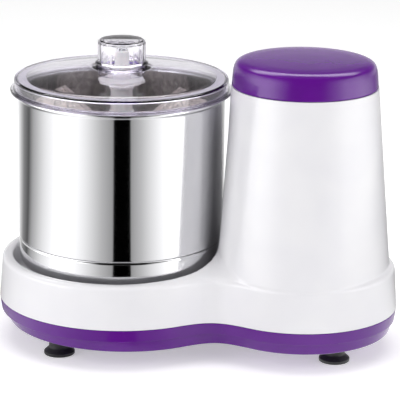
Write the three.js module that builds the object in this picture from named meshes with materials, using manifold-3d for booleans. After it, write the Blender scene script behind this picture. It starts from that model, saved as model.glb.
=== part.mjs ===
// Table-top wet grinder: a lift-off steel drum with granite stones turns on a low housing,
// and a tower beside it holds the motor that drives the drum through a belt.
// Millimetres, +Z up, table at z = 0. The drum is towards -X, the tower towards +X, and the front is -Y.

import * as THREE from "three";
import { mergeVertices } from "three/addons/utils/BufferGeometryUtils.js";
import Module from "manifold-3d";

const wasm = await Module();
wasm.setup();

// Driving dimensions
const shaftSpacing = 185; // drum axis to tower axis
const footHeight = 20;
const trayHeight = 24;
const ringHeight = 44; // tray top to the top of the ring round the drum
const towerHeight = 182.5; // ring top to the seat of the cap
const drumRadius = 104;
const drumHeight = 190;
const gap = 0.3; // between pieces that touch
const overrun = 2; // how far a cutter passes through a face
const mergeDistance = 0.0001; // within which points of one piece are the same

// Counts of faces round the turned pieces
const bigTurn = 32;
const middleTurn = 20;
const smallTurn = 12;
const screwTurn = 8;
const outlinePoints = 48;
const cornerSteps = 3;
const outlineSamples = 720; // along which the outline's points are spaced evenly
const halvings = 40; // of a ray, to find the outline on it

// Lid over the drum's rim
const lidOverhang = 7.5; // of its flange outside the drum
const lidLedge = 3.9; // of its flange outside its wall
const lidSeat = 2.5; // of its flange inside the drum
const lidFlangeRadius = drumRadius + lidOverhang;
const lidRadius = lidFlangeRadius - lidLedge;
const lidFlangeInner = drumRadius - lidSeat;

// Drum well and the scoop that it cuts in the tower
const scoopClearance = 6; // round the drum
const scoopLidClearance = 1.5; // round the lid's flange
const scoopRadius = drumRadius + scoopClearance;
const scoopTopRadius = lidFlangeRadius + scoopLidClearance;
const wellFloorRise = 17; // above the tray top
const wellOpeningRadius = 38;
const sealWidth = 7.4;
const sealHeight = 3.7;
const sealClearance = 0.6;

// Pieces that the tower has to hold beside each other: the motor's stator and the capacitor
const statorRadius = 52;
const capacitorRadius = 16;
const capacitorHeight = 60;
const capacitorMotorClearance = 3;
const capacitorWallClearance = 11;

// Housing outline: a circle round the drum, an ellipse round the tower and a hollow that joins them
const ringWidth = 14.2;
const drumLobeRadius = scoopRadius + ringWidth;
const towerLobeRadius = statorRadius + capacitorMotorClearance + 2 * capacitorRadius + capacitorWallClearance;
const waistBlend = 50;
const lobeDraft = 3; // how much closer in the sides are at the ring top
const rimRounding = 3.6;
const towerFootLengthInset = 8.6; // from the tower lobe
const towerFootWidthInset = 2.8;
const towerTaper = 16; // from its foot to its top
const towerFootLength = towerLobeRadius - towerFootLengthInset;
const towerFootWidth = towerLobeRadius - towerFootWidthInset;
const towerTopRadius = towerFootLength - towerTaper;
const housingWall = 3;
const rayCentreShare = 0.65; // of the shaft spacing, where the outline is measured from
// Each row: share of the tower height, share of the drum lobe radius, share of the waist blend
const towerSectionShares = [
  [0, 0.88, 1],
  [0.012, 0.78, 0.9],
  [0.028, 0.66, 0.7],
  [0.055, 0.5, 0.45],
  [0.09, 0.36, 0.25],
  [0.15, 0.28, 0.15],
  [0.46, 0.24, 0.1],
  [1, 0.2, 0.1],
];

// Base tray
const trayBottomInset = 6.8;
const trayStepHeight = 11.5;
const trayLowerInset = 3.7;
const trayStepInset = 1.8;
const trayFloor = 3;
const shaftPadRadius = 30;
const shaftPadRise = 2;
const ventCount = 8;
const ventWidth = 4;
const ventInnerRadius = 20;
const ventLength = 16;

// Feet
const footRadius = 15.5;
const footNeckRadius = 10;
const footRimHeight = 3.2;
const footFlare = 7.5;
const footStudRadius = 5;
const footStudClearance = 0.3;
const drumFootInset = 35; // from the drum lobe
const drumFootTurnShare = 0.3417; // of a full turn from the +X direction
const towerFootInset = 39; // from the tower lobe
const towerFootTurnShare = 0.128;

// Screws from below into the bosses of the casing
const bossRadius = 6.5;
const casingScrewRadius = 1.9;
const casingScrewLength = 20;
const casingScrewHeadRadius = 4;
const casingScrewHeadHeight = 2.4;
const screwClearance = 0.3;
const drumBossInset = 23.8; // from the drum lobe
const drumBossTurnShare = 0.375; // of a full turn from the +X direction
const waistBossInset = 20.3; // from the drum lobe
const waistBossTurnShare = 0.1667;
const towerBossInset = 17.5; // from the tower lobe
const towerBossTurnShare = 0.1112;
const towerBossRise = 82; // above the tray top

// Cap of the tower
const capInset = 0.6; // from the tower's top
const capRadius = towerTopRadius - capInset;
const capHeight = 27.2;
const capWall = 2.6;
const capPlugClearance = 2;
const capPlugRadius = towerTopRadius - housingWall - capPlugClearance;
const capPlugDepth = 8;
// Outline of the cap from its edge to its middle: share of the radius, share of the height
const capOutlineShares = [
  [1, 0],
  [0.986, 0.47],
  [0.972, 0.68],
  [0.94, 0.84],
  [0.87, 0.93],
  [0.6, 0.98],
  [0, 1],
];
const capInsideFrom = 3; // the first of these rows that its inside follows

// Fixed centre shaft, its nut and the bearings of the drive hub
const shaftRadius = 5;
const shaftTopRise = 17.5; // above the cap seat of the tower, inside the lid's knob
const shaftTailRadius = 6;
const shaftTailLength = 8;
const shaftFlangeRadius = 24;
const shaftFlangeThickness = 3.7;
const bearingSeatRadius = 8;
const nutRadius = 9.8;
const nutThickness = 6.4;
const hubBearingRadius = 13;
const bearingWidth = 7;
const hubBearingPitch = 11; // from the lower to the upper one
const circlipThickness = 1.2;
const circlipRadius = 11;

// Belt drive
const pulleyInset = 19; // from the drum's radius
const pulleyRadius = drumRadius - pulleyInset;
const motorPulleyRadius = 10;
const beltThickness = 3;
const beltWidth = 10;
const pulleyFlange = 2;
const pulleyFlangeThickness = 1.7;
const pulleyRimThickness = 9;
const pulleyWeb = 4;
const hubRadius = 20;
const hubHeight = 21;
const hubRise = 1; // above the shaft flange
const beltDrumSteps = 28;
const beltMotorSteps = 8;

// Coupling between the hub and the drum
const couplerRadius = 30;
const couplerPlate = 4;
const couplerLugHeight = 4.7;
const couplerLugInner = 18;
const couplerBore = 10.5;
const couplerLugAngle = 50; // degrees
const couplerLugs = 3;
const drumCouplerRadius = 36;
const drumCouplerPlate = 6;

// Motor in the tower
const motorShaftRadius = 4;
const motorPlateThickness = 3;
const motorPlateRise = 27; // above the tray floor
const motorPlateMargin = 11;
const motorPlateHole = 16;
const postRadius = 6;
const postStand = 5.7; // from the stator
const drumSidePostTurnShare = 0.3535; // of a full turn from the +X direction
const farSidePostTurnShare = 0.0565;
const motorScrewRadius = 2.2;
const motorScrewLength = 13;
const motorScrewHeadRadius = 4.5;
const motorScrewHeadHeight = 3.2;
const motorCoverInset = 2; // from the stator
const motorCoverRadius = statorRadius - motorCoverInset;
const motorCoverWall = 3;
const motorCoverHeight = 16.4;
const motorBearingRadius = 13;
const motorBearingBoss = 3;
const motorBearingInset = 0.8;
const motorBossHeight = 8.2;
const statorBore = 27;
const statorHeight = 45;
const rotorClearance = 0.6;
const windingBoreClearance = 3;
const windingCoverClearance = 2;
const windingInner = statorBore + windingBoreClearance;
const windingOuter = motorCoverRadius - motorCoverWall - windingCoverClearance;
const windingHeight = 7.4;
const fanRadius = 40;
const fanHubRadius = 8;
const fanDisc = 2;
const fanBladeHeight = 6;
const fanBladeThickness = 1.6;
const fanBlades = 8;
const fanRise = 2;

// Electrical pieces
const capacitorY = -(statorRadius + capacitorMotorClearance + capacitorRadius);
const capacitorCupWall = 2.4;
const capacitorCupHeight = 14;
const terminalLength = 30;
const terminalDepth = 12;
const terminalHeight = 14;
const terminalX = 20; // from the tower axis
const terminalInset = 32; // from the back of the tower lobe
const terminalY = towerLobeRadius - terminalInset;
const glandRise = 18; // above the tray top
const glandBore = 3.2;
const glandNeck = 6.5;
const glandOuterFlange = 9.5;
const glandInnerFlange = 8.5;
const glandFlangeThickness = 2.5;
const glandInnerThickness = 3;
const glandClearance = 1.2;

// Rocker switch on the back of the tower
const switchRise = 62; // above the ring top
const switchPadWidth = 42;
const switchPadHeight = 32;
const switchPadStand = 1;
const switchBodyWidth = 27.4;
const switchBodyHeight = 19.4;
const switchBodyDepth = 18;
const bezelWidth = 34;
const bezelHeight = 26;
const bezelThickness = 2;
const pocketWidth = 22;
const pocketHeight = 16.4;
const pocketDepth = 8;
const rockerHalfHeight = 7.2;
const rockerEdgeStand = 3.6; // above the pivot
const rockerMiddleStand = 2.1;
const rockerKeel = 5.4;
const rockerKeelHalf = 3;
const rockerRest = 8; // degrees to one side of level

// Drum
const drumWall = 1.2;
const drumCorner = 30;
const drumSeat = 6; // above the well floor
const drumHoleRadius = 9;
const grooveRise = 40;
const grooveDepth = 0.8;
const beadStand = 2.3;
const beadHeight = 5;
const tubeRadius = 9.5;
const tubeBore = 6.5;
const tubeTopDrop = 28; // below the drum rim
const tubeFlangeRadius = 18.2;
const tubeFlangeThickness = 3.3;
const bushHeight = 3.7;
const bushClearance = 0.4;

// Roller stones, measured along their own axle from the drum axis
const stoneRadius = 63;
const armRadius = 9;
const armEnd = 21;
const stoneEndClearance = 12.8; // to the drum's wall
const stoneOuter = drumRadius - drumWall - stoneEndClearance;
const stoneArmClearance = 1;
const stoneInner = armEnd + stoneArmClearance;
const stoneTaper = 32; // from the widest place to the outer end
const stonePeak = stoneOuter - stoneTaper;
const stoneTopRise = 1.5; // above the drum rim
const stoneInnerRadius = 33;
const stoneShoulderLength = 4;
const stoneShoulder = stoneOuter - stoneShoulderLength;
const stoneShoulderRadius = 50.4;
const stoneOuterRadius = 45;
const stoneEdge = 3;
const stoneTurnShare = 8 / 360; // of a full turn, from the line between the axes
const axleRadius = 5;
const axleRoot = 17;
const axleStand = 6; // out of the stone
const axleTip = stoneOuter + axleStand;
const bushWall = 3;
const axleCapRadius = 9.5;
const axleCapEndWall = 2.6;
const axleCapEnd = axleTip + axleCapEndWall;
const axleCapEdge = 1.4;

// Base stone
const baseStoneClearance = 0.4;
const baseStoneFoot = 2; // width of its flat foot ring
const baseStoneHollowInner = 28;
const baseStoneHollowDepth = 44;
const grindingGap = 0.5;
const baseStoneCrown = 20; // radius of the flat in the middle
const baseStoneCrownRise = 1;
const baseStoneLip = 1.8;
const baseStoneEdge = 2;

// Sleeve that carries the stones, and the knob that locks it
const sleeveRadius = 16;
const sleeveBottomDrop = 27; // below the axle
const sleeveShoulderRise = 23; // above the axle
const sleeveTaper = 4;
const sleeveNeckRadius = 12.5;
const sleeveTopRadius = 11;
const sleeveNeckTop = 21; // below the drum rim
const sleeveBore = 10;
const lockHubRadius = 12.3;
const lockHubHeight = 6.7;
const lockDiscRadius = 24;
const lockDiscThickness = 3.5;
const lockStemRadius = 8.8;
const lockStemHeight = 27.5;

// Walls of the lid, and its knob
const lidFlangeThickness = 2.5;
const lidWall = 2.5;
const lidSideHeight = 13.8;
const lidShoulder = 2;
const lidTopRing = 11.4; // width of the level ring between shoulder and dome
const lidDome = 12.4;
const lidHole = 21;
const lidCollarWall = 2.5;
const lidCollarDepth = 11.7;
const knobFlangeRadius = 26.6;
const knobFlangeThickness = 3;
const knobRadius = 24.4;
const knobHeight = 25.2;
const knobChamferHeight = 4.5;
const knobChamfer = 5;
const knobWall = 3.2;
const knobFlutes = 14;
const knobFluteDepth = 0.7;
const fluteSteps = 4;

// Heights that follow from the sizes
const trayBottom = footHeight;
const trayTop = trayBottom + trayHeight;
const floorTop = trayBottom + trayFloor;
const ringTop = trayTop + ringHeight;
const towerTop = ringTop + towerHeight;
const wellFloorTop = trayTop + wellFloorRise;
const drumBottom = wellFloorTop + drumSeat;
const drumRim = drumBottom + drumHeight;
const drumFloorTop = drumBottom + drumWall;
const axleHeight = drumRim + stoneTopRise - stoneRadius;
const padTop = floorTop + shaftPadRise;
const flangeTop = padTop + gap + shaftFlangeThickness;
const hubBottom = flangeTop + hubRise;
const hubTop = hubBottom + hubHeight;
const pulleyHeight = beltWidth + 2 * (gap + pulleyFlangeThickness);
const pulleyBottom = hubBottom + hubRise;
const beltBottom = pulleyBottom + pulleyFlangeThickness + gap;
const lowerBearing = hubBottom + hubRise;
const upperBearing = lowerBearing + hubBearingPitch;
const shaftTop = towerTop + shaftTopRise + shaftTailLength + shaftRadius;
const tubeTop = drumRim - tubeTopDrop;
const bushBottom = tubeTop + gap;
const bushTop = bushBottom + bushHeight;
const sleeveTop = drumRim;
const motorPlateBottom = floorTop + motorPlateRise;
const motorPlateTop = motorPlateBottom + motorPlateThickness;
const lowerCoverBottom = motorPlateTop + gap;
const statorBottom = lowerCoverBottom + motorCoverHeight + gap;
const statorTop = statorBottom + statorHeight;
const upperCoverTop = statorTop + gap + motorCoverHeight;
const fanBottom = upperCoverTop + fanRise;
const fanTop = fanBottom + fanDisc + fanBladeHeight;
const lidBottom = drumRim + gap;
const lidTop = lidBottom + lidSideHeight + lidDome;
const knobBottom = lidTop + gap;

const drumBore = drumRadius - drumWall;
const shaftClearance = shaftRadius + bushClearance;
const axleBore = axleRadius + gap;
const stoneBore = axleBore + bushWall + gap;

const turn = 2 * Math.PI;
const radians = THREE.MathUtils.degToRad;

// A place at a distance from an axis on the X line, turned by a share of a full turn.
function roundAxis(axisX, reach, turnShare) {
  return [axisX + reach * Math.cos(turn * turnShare), reach * Math.sin(turn * turnShare)];
}

// Solids

// A closed solid from a geometry: only the positions are kept, shared points are merged,
// triangles without area are dropped, and a shape that is inside out is turned round.
function solid(geometry) {
  const bare = geometry.index ? geometry.toNonIndexed() : geometry.clone();
  bare.deleteAttribute("normal");
  bare.deleteAttribute("uv");
  const merged = mergeVertices(bare, mergeDistance);
  const corners = merged.index.array;
  const kept = [];
  for (let i = 0; i < corners.length; i += 3) {
    const [a, b, c] = [corners[i], corners[i + 1], corners[i + 2]];
    if (a !== b && b !== c && c !== a) kept.push(a, b, c);
  }
  const build = (triangles) => new wasm.Manifold(new wasm.Mesh({
    numProp: 3,
    vertProperties: new Float32Array(merged.attributes.position.array),
    triVerts: new Uint32Array(triangles),
  }));
  const made = build(kept);
  if (made.volume() > 0) return made;
  return build(kept.reverse());
}

function join(...solids) {
  return solids.reduce((whole, piece) => whole.add(piece));
}

function cut(whole, ...cutters) {
  return cutters.reduce((left, cutter) => left.subtract(cutter), whole);
}

// A shape turned about Z from an outline of [radius, height] points; a ring's outline is closed on itself.
function turned(outline, faces) {
  const onAxis = outline[0][0] === 0 && outline[outline.length - 1][0] === 0;
  const closed = onAxis ? outline : [...outline, outline[0]];
  const geometry = new THREE.LatheGeometry(closed.map(([r, z]) => new THREE.Vector2(r, z)), faces);
  return solid(geometry.rotateX(Math.PI / 2));
}

function disc(radius, bottom, top, faces) {
  return turned([[0, bottom], [radius, bottom], [radius, top], [0, top]], faces);
}

function ring(inner, outer, bottom, top, faces) {
  return turned([[inner, bottom], [outer, bottom], [outer, top], [inner, top]], faces);
}

function box(width, depth, height, x, y, z) {
  return solid(new THREE.BoxGeometry(width, depth, height).translate(x, y, z));
}

// A flat outline of THREE.Shape raised from one height to another.
function raised(shape, bottom, top) {
  const geometry = new THREE.ExtrudeGeometry(shape, { depth: top - bottom, bevelEnabled: false });
  return solid(geometry.translate(0, 0, bottom));
}

// A solid through a stack of outlines with equally many points, closed by its first and last outline.
function stacked(levels) {
  const count = levels[0].points.length;
  const positions = levels.flatMap(({ z, points }) => points.flatMap((p) => [p.x, p.y, z]));
  const faces = [];
  for (let level = 0; level + 1 < levels.length; level += 1) {
    for (let i = 0; i < count; i += 1) {
      const next = (i + 1) % count;
      const low = level * count;
      const high = low + count;
      faces.push(low + i, low + next, high + next, low + i, high + next, high + i);
    }
  }
  const last = (levels.length - 1) * count;
  for (const [a, b, c] of THREE.ShapeUtils.triangulateShape(levels[0].points, [])) faces.push(c, b, a);
  for (const [a, b, c] of THREE.ShapeUtils.triangulateShape(levels[levels.length - 1].points, [])) {
    faces.push(last + a, last + b, last + c);
  }
  const geometry = new THREE.BufferGeometry();
  geometry.setAttribute("position", new THREE.Float32BufferAttribute(positions, 3));
  geometry.setIndex(faces);
  return solid(geometry);
}

// Points [radius, height] of a quarter round, from angle to angle in degrees about its centre.
function rounded(centreRadius, centreHeight, radius, from, to) {
  return Array.from({ length: cornerSteps + 1 }, (_, i) => {
    const angle = radians(from + (to - from) * i / cornerSteps);
    return [centreRadius + radius * Math.cos(angle), centreHeight + radius * Math.sin(angle)];
  });
}

// Housing outline at one height

function section(z, drumR, towerLength, towerWidth, blend) {
  return { z, drumR, towerLength, towerWidth, blend, drumX: Math.max(0, drumLobeRadius - lobeDraft - drumR) };
}

// Signed distance to the outline: the nearer of circle and ellipse, drawn together where both are near.
function outlineDistance(x, y, part) {
  const toDrum = Math.hypot(x - part.drumX, y) - part.drumR;
  const reach = Math.hypot((x - shaftSpacing) / part.towerLength, y / part.towerWidth);
  const toTower = (reach - 1) * Math.min(part.towerLength, part.towerWidth);
  const near = Math.max(part.blend - Math.abs(toDrum - toTower), 0) / part.blend;
  return Math.min(toDrum, toTower) - near * near * part.blend / 4;
}

const rayCentre = rayCentreShare * shaftSpacing;

function outlinePoint(angle, part) {
  let inside = 0;
  let outside = 2 * shaftSpacing;
  for (let step = 0; step < halvings; step += 1) {
    const middle = (inside + outside) / 2;
    const x = rayCentre + middle * Math.cos(angle);
    const y = middle * Math.sin(angle);
    if (outlineDistance(x, y, part) < 0) inside = middle;
    else outside = middle;
  }
  return new THREE.Vector2(rayCentre + inside * Math.cos(angle), inside * Math.sin(angle));
}

const trayTopSection = section(trayTop, drumLobeRadius, towerLobeRadius, towerLobeRadius, waistBlend);

// Angles from the ray centre that space the points evenly along the outline of the tray top.
function evenAngles() {
  const fine = Array.from({ length: outlineSamples }, (_, i) => turn * i / outlineSamples);
  const points = fine.map((angle) => outlinePoint(angle, trayTopSection));
  const lengths = [0];
  points.forEach((point, i) => lengths.push(lengths[i] + point.distanceTo(points[(i + 1) % points.length])));
  const total = lengths[points.length];
  const angles = [];
  let at = 0;
  for (let i = 0; i < outlinePoints; i += 1) {
    const wanted = total * i / outlinePoints;
    while (lengths[at + 1] < wanted) at += 1;
    const share = (wanted - lengths[at]) / (lengths[at + 1] - lengths[at]);
    angles.push(turn * (at + share) / outlineSamples);
  }
  return angles;
}

const outlineAngles = evenAngles();

function outline(part) {
  return { z: part.z, points: outlineAngles.map((angle) => outlinePoint(angle, part)) };
}

// The same section drawn in by a distance, and moved to another height.
function inset(part, distance, z = part.z) {
  return section(z, part.drumR - distance, part.towerLength - distance, part.towerWidth - distance, part.blend);
}

// Housing

const ringTopWidth = towerFootWidth;
const ringSideSection = section(ringTop - rimRounding, drumLobeRadius - lobeDraft,
  towerLobeRadius - lobeDraft, ringTopWidth + rimRounding / 6, waistBlend);
const ringEdgeSection = section(ringTop - rimRounding / 4, ringSideSection.drumR - rimRounding / 3,
  ringSideSection.towerLength - rimRounding / 3, ringTopWidth + rimRounding / 12, waistBlend);
const ringTopSection = section(ringTop, ringSideSection.drumR - rimRounding,
  ringSideSection.towerLength - rimRounding, ringTopWidth, waistBlend);

function towerSections() {
  return towerSectionShares.map(([height, lobe, blend]) => section(
    ringTop + height * towerHeight,
    lobe * drumLobeRadius,
    THREE.MathUtils.lerp(towerFootLength, towerTopRadius, height),
    THREE.MathUtils.lerp(towerFootWidth, towerTopRadius, height),
    blend * waistBlend,
  ));
}

// Half the width of the tower at a height, and the lean of its back there.
function towerWidthAt(z) {
  return THREE.MathUtils.lerp(towerFootWidth, towerTopRadius, (z - ringTop) / towerHeight);
}
const towerLean = Math.atan2(towerFootWidth - towerTopRadius, towerHeight);
const switchHeight = ringTop + switchRise;
const switchPlace = new THREE.Matrix4()
  .makeTranslation(shaftSpacing, towerWidthAt(switchHeight), switchHeight)
  .multiply(new THREE.Matrix4().makeRotationX(towerLean));

// Moves a solid by a matrix of the scene.
function placed(piece, matrix) {
  return piece.transform(matrix.elements);
}

const lowBossTop = wellFloorTop - housingWall / 2;
const casingBosses = [
  [...roundAxis(0, drumLobeRadius - drumBossInset, drumBossTurnShare), lowBossTop],
  [...roundAxis(0, drumLobeRadius - waistBossInset, waistBossTurnShare), lowBossTop],
  [...roundAxis(shaftSpacing, towerLobeRadius - towerBossInset, towerBossTurnShare), trayTop + towerBossRise],
].flatMap(([x, y, top]) => [[x, -y, top], [x, y, top]]);

const [drumFootX, drumFootY] = roundAxis(0, drumLobeRadius - drumFootInset, drumFootTurnShare);
const [towerFootX, towerFootY] = roundAxis(shaftSpacing, towerLobeRadius - towerFootInset, towerFootTurnShare);
const feet = {
  foot_front_left: [drumFootX, -drumFootY],
  foot_rear_left: [drumFootX, drumFootY],
  foot_front_right: [towerFootX, -towerFootY],
  foot_rear_right: [towerFootX, towerFootY],
};

const motorPosts = [-drumSidePostTurnShare, -farSidePostTurnShare, farSidePostTurnShare, drumSidePostTurnShare]
  .map((turnShare) => roundAxis(shaftSpacing, statorRadius + postStand, turnShare));

function casing() {
  const bottom = trayTop + gap;
  const lowest = section(bottom, drumLobeRadius, towerLobeRadius, towerLobeRadius, waistBlend);
  const tower = towerSections();
  const outside = stacked([lowest, ringSideSection, ringEdgeSection, ringTopSection, ...tower].map(outline));
  const below = inset(lowest, housingWall, bottom - overrun);
  const top = tower[tower.length - 1];
  const hollowSections = [
    below,
    inset(ringSideSection, housingWall, ringTop - rimRounding),
    inset(ringTopSection, housingWall, ringTop - housingWall),
    ...tower.map((part) => inset(part, housingWall, part.z - (part === top ? 0 : housingWall))),
    inset(top, housingWall, towerTop + overrun),
  ];
  const scoopLean = (scoopTopRadius - scoopRadius) / (towerTop - wellFloorTop);
  const scoopOutline = (wall, floor) => [
    [0, floor],
    [scoopRadius + wall, floor],
    [scoopTopRadius + wall + scoopLean * overrun, towerTop + overrun],
    [0, towerTop + overrun],
  ];
  const wellShell = turned(scoopOutline(housingWall, wellFloorTop - housingWall), bigTurn);
  const well = turned(scoopOutline(0, wellFloorTop), bigTurn);
  const hollow = cut(stacked(hollowSections.map(outline)), wellShell);
  const bosses = casingBosses.map(([x, y, height]) =>
    disc(bossRadius, floorTop + gap, height, screwTurn).translate([x, y, 0]));
  const pad = placed(box(switchPadWidth, housingWall + switchPadStand, switchPadHeight,
    0, (switchPadStand - housingWall) / 2, 0), switchPlace);
  const shell = cut(join(outside, pad), hollow, well);
  const screwHoles = casingBosses.map(([x, y]) =>
    disc(casingScrewRadius + screwClearance, trayBottom, trayBottom + casingScrewLength + overrun, screwTurn)
      .translate([x, y, 0]));
  const shaftHole = disc(wellOpeningRadius, wellFloorTop - housingWall - overrun, wellFloorTop + overrun, bigTurn);
  const switchHole = placed(box(switchBodyWidth + 2 * gap, switchBodyDepth, switchBodyHeight + 2 * gap,
    0, 0, 0), switchPlace);
  const glandHole = disc(glandNeck + gap, towerLobeRadius - housingWall - overrun - lobeDraft,
    towerLobeRadius + overrun, smallTurn).rotate([-90, 0, 0]).translate([shaftSpacing, 0, trayTop + glandRise]);
  return cut(join(shell, ...bosses), ...screwHoles, shaftHole, switchHole, glandHole);
}

function baseTray() {
  const lower = inset(trayTopSection, trayLowerInset, trayBottom + trayStepHeight);
  const bottom = inset(trayTopSection, trayBottomInset, trayBottom);
  const step = inset(trayTopSection, trayStepInset, trayBottom + trayStepHeight);
  const outside = stacked([bottom, lower, step, trayTopSection].map(outline));
  const hollow = stacked([
    inset(bottom, housingWall, floorTop),
    inset(lower, housingWall),
    inset(trayTopSection, housingWall, trayTop + overrun),
  ].map(outline));
  const inFloor = floorTop - trayFloor / 2;
  const posts = motorPosts.map(([x, y]) =>
    disc(postRadius, inFloor, motorPlateBottom - gap, screwTurn).translate([x, y, 0]));
  const cup = disc(capacitorRadius + gap + capacitorCupWall, inFloor, floorTop + capacitorCupHeight, middleTurn)
    .translate([shaftSpacing, capacitorY, 0]);
  const cupHollow = disc(capacitorRadius + gap, floorTop, floorTop + capacitorCupHeight + overrun, middleTurn)
    .translate([shaftSpacing, capacitorY, 0]);
  const shaftPad = disc(shaftPadRadius, inFloor, padTop, middleTurn);
  const shaftHole = disc(shaftTailRadius + gap, trayBottom - overrun, padTop + overrun, smallTurn);
  const footHoles = Object.values(feet).map(([x, y]) =>
    disc(footStudRadius + footStudClearance, trayBottom - overrun, floorTop + overrun, smallTurn)
      .translate([x, y, 0]));
  const screwHoles = casingBosses.map(([x, y]) =>
    disc(casingScrewRadius + screwClearance, trayBottom - overrun, floorTop + overrun, screwTurn)
      .translate([x, y, 0]));
  const postHoles = motorPosts.map(([x, y]) =>
    disc(motorScrewRadius + screwClearance, motorPlateTop - motorScrewLength - overrun, motorPlateTop, screwTurn)
      .translate([x, y, 0]));
  const vents = Array.from({ length: ventCount }, (_, i) =>
    box(ventLength, ventWidth, trayFloor + 2 * overrun, ventInnerRadius + ventLength / 2, 0, inFloor)
      .rotate([0, 0, 360 * i / ventCount]).translate([shaftSpacing, 0, 0]));
  return cut(join(cut(outside, hollow), ...posts, cup, shaftPad),
    cupHollow, shaftHole, ...footHoles, ...screwHoles, ...postHoles, ...vents);
}

function foot() {
  return turned([
    [0, 0],
    [footRadius, 0],
    [footRadius, footRimHeight],
    [footNeckRadius + gap, footFlare],
    [footNeckRadius, footHeight - gap],
    [footStudRadius, footHeight - gap],
    [footStudRadius, floorTop],
    [0, floorTop],
  ], middleTurn);
}

function towerCap() {
  const seat = towerTop + gap;
  const outside = capOutlineShares.map(([r, h]) => [r * capRadius, seat + h * capHeight]);
  const plugInner = capPlugRadius - capWall;
  const inside = capOutlineShares.slice(capInsideFrom).map(([r, h]) =>
    [r * plugInner, seat + h * capHeight - capWall]);
  return turned([
    ...outside.reverse(),
    [capPlugRadius, seat],
    [capPlugRadius, seat - capPlugDepth],
    [plugInner, seat - capPlugDepth],
    ...inside,
  ], bigTurn).translate([shaftSpacing, 0, 0]);
}

// Centre shaft and drive hub

function centreShaft() {
  return turned([
    [0, trayBottom - shaftTailLength],
    [shaftTailRadius, trayBottom - shaftTailLength],
    [shaftTailRadius, padTop + gap],
    [shaftFlangeRadius, padTop + gap],
    [shaftFlangeRadius, flangeTop],
    [bearingSeatRadius, flangeTop],
    [bearingSeatRadius, hubTop],
    [shaftRadius, hubTop],
    [shaftRadius, shaftTop],
    [0, shaftTop],
  ], smallTurn);
}

function shaftNut() {
  const top = trayBottom - gap;
  return cut(disc(nutRadius, top - nutThickness, top, 6),
    disc(shaftTailRadius + gap, top - nutThickness - overrun, top + overrun, smallTurn));
}

function hubBearing(bottom) {
  return ring(bearingSeatRadius + gap, hubBearingRadius, bottom, bottom + bearingWidth, smallTurn);
}

function hubCirclip() {
  const bottom = upperBearing + bearingWidth + gap;
  return ring(bearingSeatRadius + gap, circlipRadius, bottom, bottom + circlipThickness, smallTurn);
}

// The rim of a belt pulley: flanges above and below the face that the belt runs on.
function beltFace(radius) {
  const low = pulleyBottom + pulleyFlangeThickness;
  const high = pulleyBottom + pulleyHeight;
  return [
    [radius + pulleyFlange, pulleyBottom],
    [radius + pulleyFlange, low],
    [radius, low],
    [radius, high - pulleyFlangeThickness],
    [radius + pulleyFlange, high - pulleyFlangeThickness],
    [radius + pulleyFlange, high],
  ];
}

function drivePulley() {
  const bore = hubBearingRadius + gap;
  const webBottom = pulleyBottom + (pulleyHeight - pulleyWeb) / 2;
  const webTop = webBottom + pulleyWeb;
  const rimInner = pulleyRadius - pulleyRimThickness;
  return turned([
    [bore, hubBottom],
    [hubRadius, hubBottom],
    [hubRadius, webBottom],
    [rimInner, webBottom],
    [rimInner, pulleyBottom],
    ...beltFace(pulleyRadius),
    [rimInner, pulleyBottom + pulleyHeight],
    [rimInner, webTop],
    [hubRadius, webTop],
    [hubRadius, hubTop],
    [bore, hubTop],
  ], bigTurn);
}

// Points of a circular arc about a place on the X axis, from angle to angle.
function arc(x, radius, from, to, steps) {
  return Array.from({ length: steps + 1 }, (_, i) => {
    const angle = from + (to - from) * i / steps;
    return new THREE.Vector2(x + radius * Math.cos(angle), radius * Math.sin(angle));
  });
}

// Outline of a loop round two circles on the two axes.
function loopPoints(drumSide, motorSide) {
  const lean = Math.acos((drumSide - motorSide) / shaftSpacing);
  return [
    ...arc(0, drumSide, lean, turn - lean, beltDrumSteps),
    ...arc(shaftSpacing, motorSide, -lean, lean, beltMotorSteps),
  ];
}

function driveBelt() {
  const inner = gap;
  const outer = gap + beltThickness;
  const shape = new THREE.Shape(loopPoints(pulleyRadius + outer, motorPulleyRadius + outer));
  shape.holes.push(new THREE.Path(loopPoints(pulleyRadius + inner, motorPulleyRadius + inner)));
  return raised(shape, beltBottom, beltBottom + beltWidth);
}

// Lugs of a dog coupling: parts of a ring, spaced evenly from a first angle in degrees.
function lugs(inner, outer, bottom, top, first) {
  return Array.from({ length: couplerLugs }, (_, i) => {
    const middle = radians(first + 360 * i / couplerLugs);
    const half = radians(couplerLugAngle / 2);
    const shape = new THREE.Shape([
      ...arc(0, outer, middle - half, middle + half, cornerSteps),
      ...arc(0, inner, middle + half, middle - half, cornerSteps),
    ]);
    return raised(shape, bottom, top);
  });
}

const driveCouplerBottom = hubTop + gap;
const driveCouplerTop = driveCouplerBottom + couplerPlate;
const lugTop = driveCouplerTop + couplerLugHeight;
const drumCouplerTop = drumBottom - gap;
const drumCouplerBottom = drumCouplerTop - drumCouplerPlate;

function driveCoupler() {
  return join(
    ring(couplerBore, couplerRadius, driveCouplerBottom, driveCouplerTop, middleTurn),
    ...lugs(couplerLugInner, couplerRadius - gap, driveCouplerTop - gap, lugTop, 0),
  );
}

function drumCoupler() {
  return join(
    ring(drumHoleRadius, drumCouplerRadius, drumCouplerBottom, drumCouplerTop, middleTurn),
    ...lugs(couplerLugInner, couplerRadius - gap, driveCouplerTop + gap, drumCouplerBottom + gap, 180 / couplerLugs),
  );
}

function wellSeal() {
  const inner = wellOpeningRadius + sealClearance;
  const bottom = wellFloorTop + gap;
  return turned([
    [inner, bottom],
    [inner + sealWidth, bottom],
    [inner + sealWidth, bottom + sealHeight / 2],
    [inner + sealWidth / 3, bottom + sealHeight],
    [inner, bottom + sealHeight],
  ], middleTurn);
}

// Motor

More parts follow.
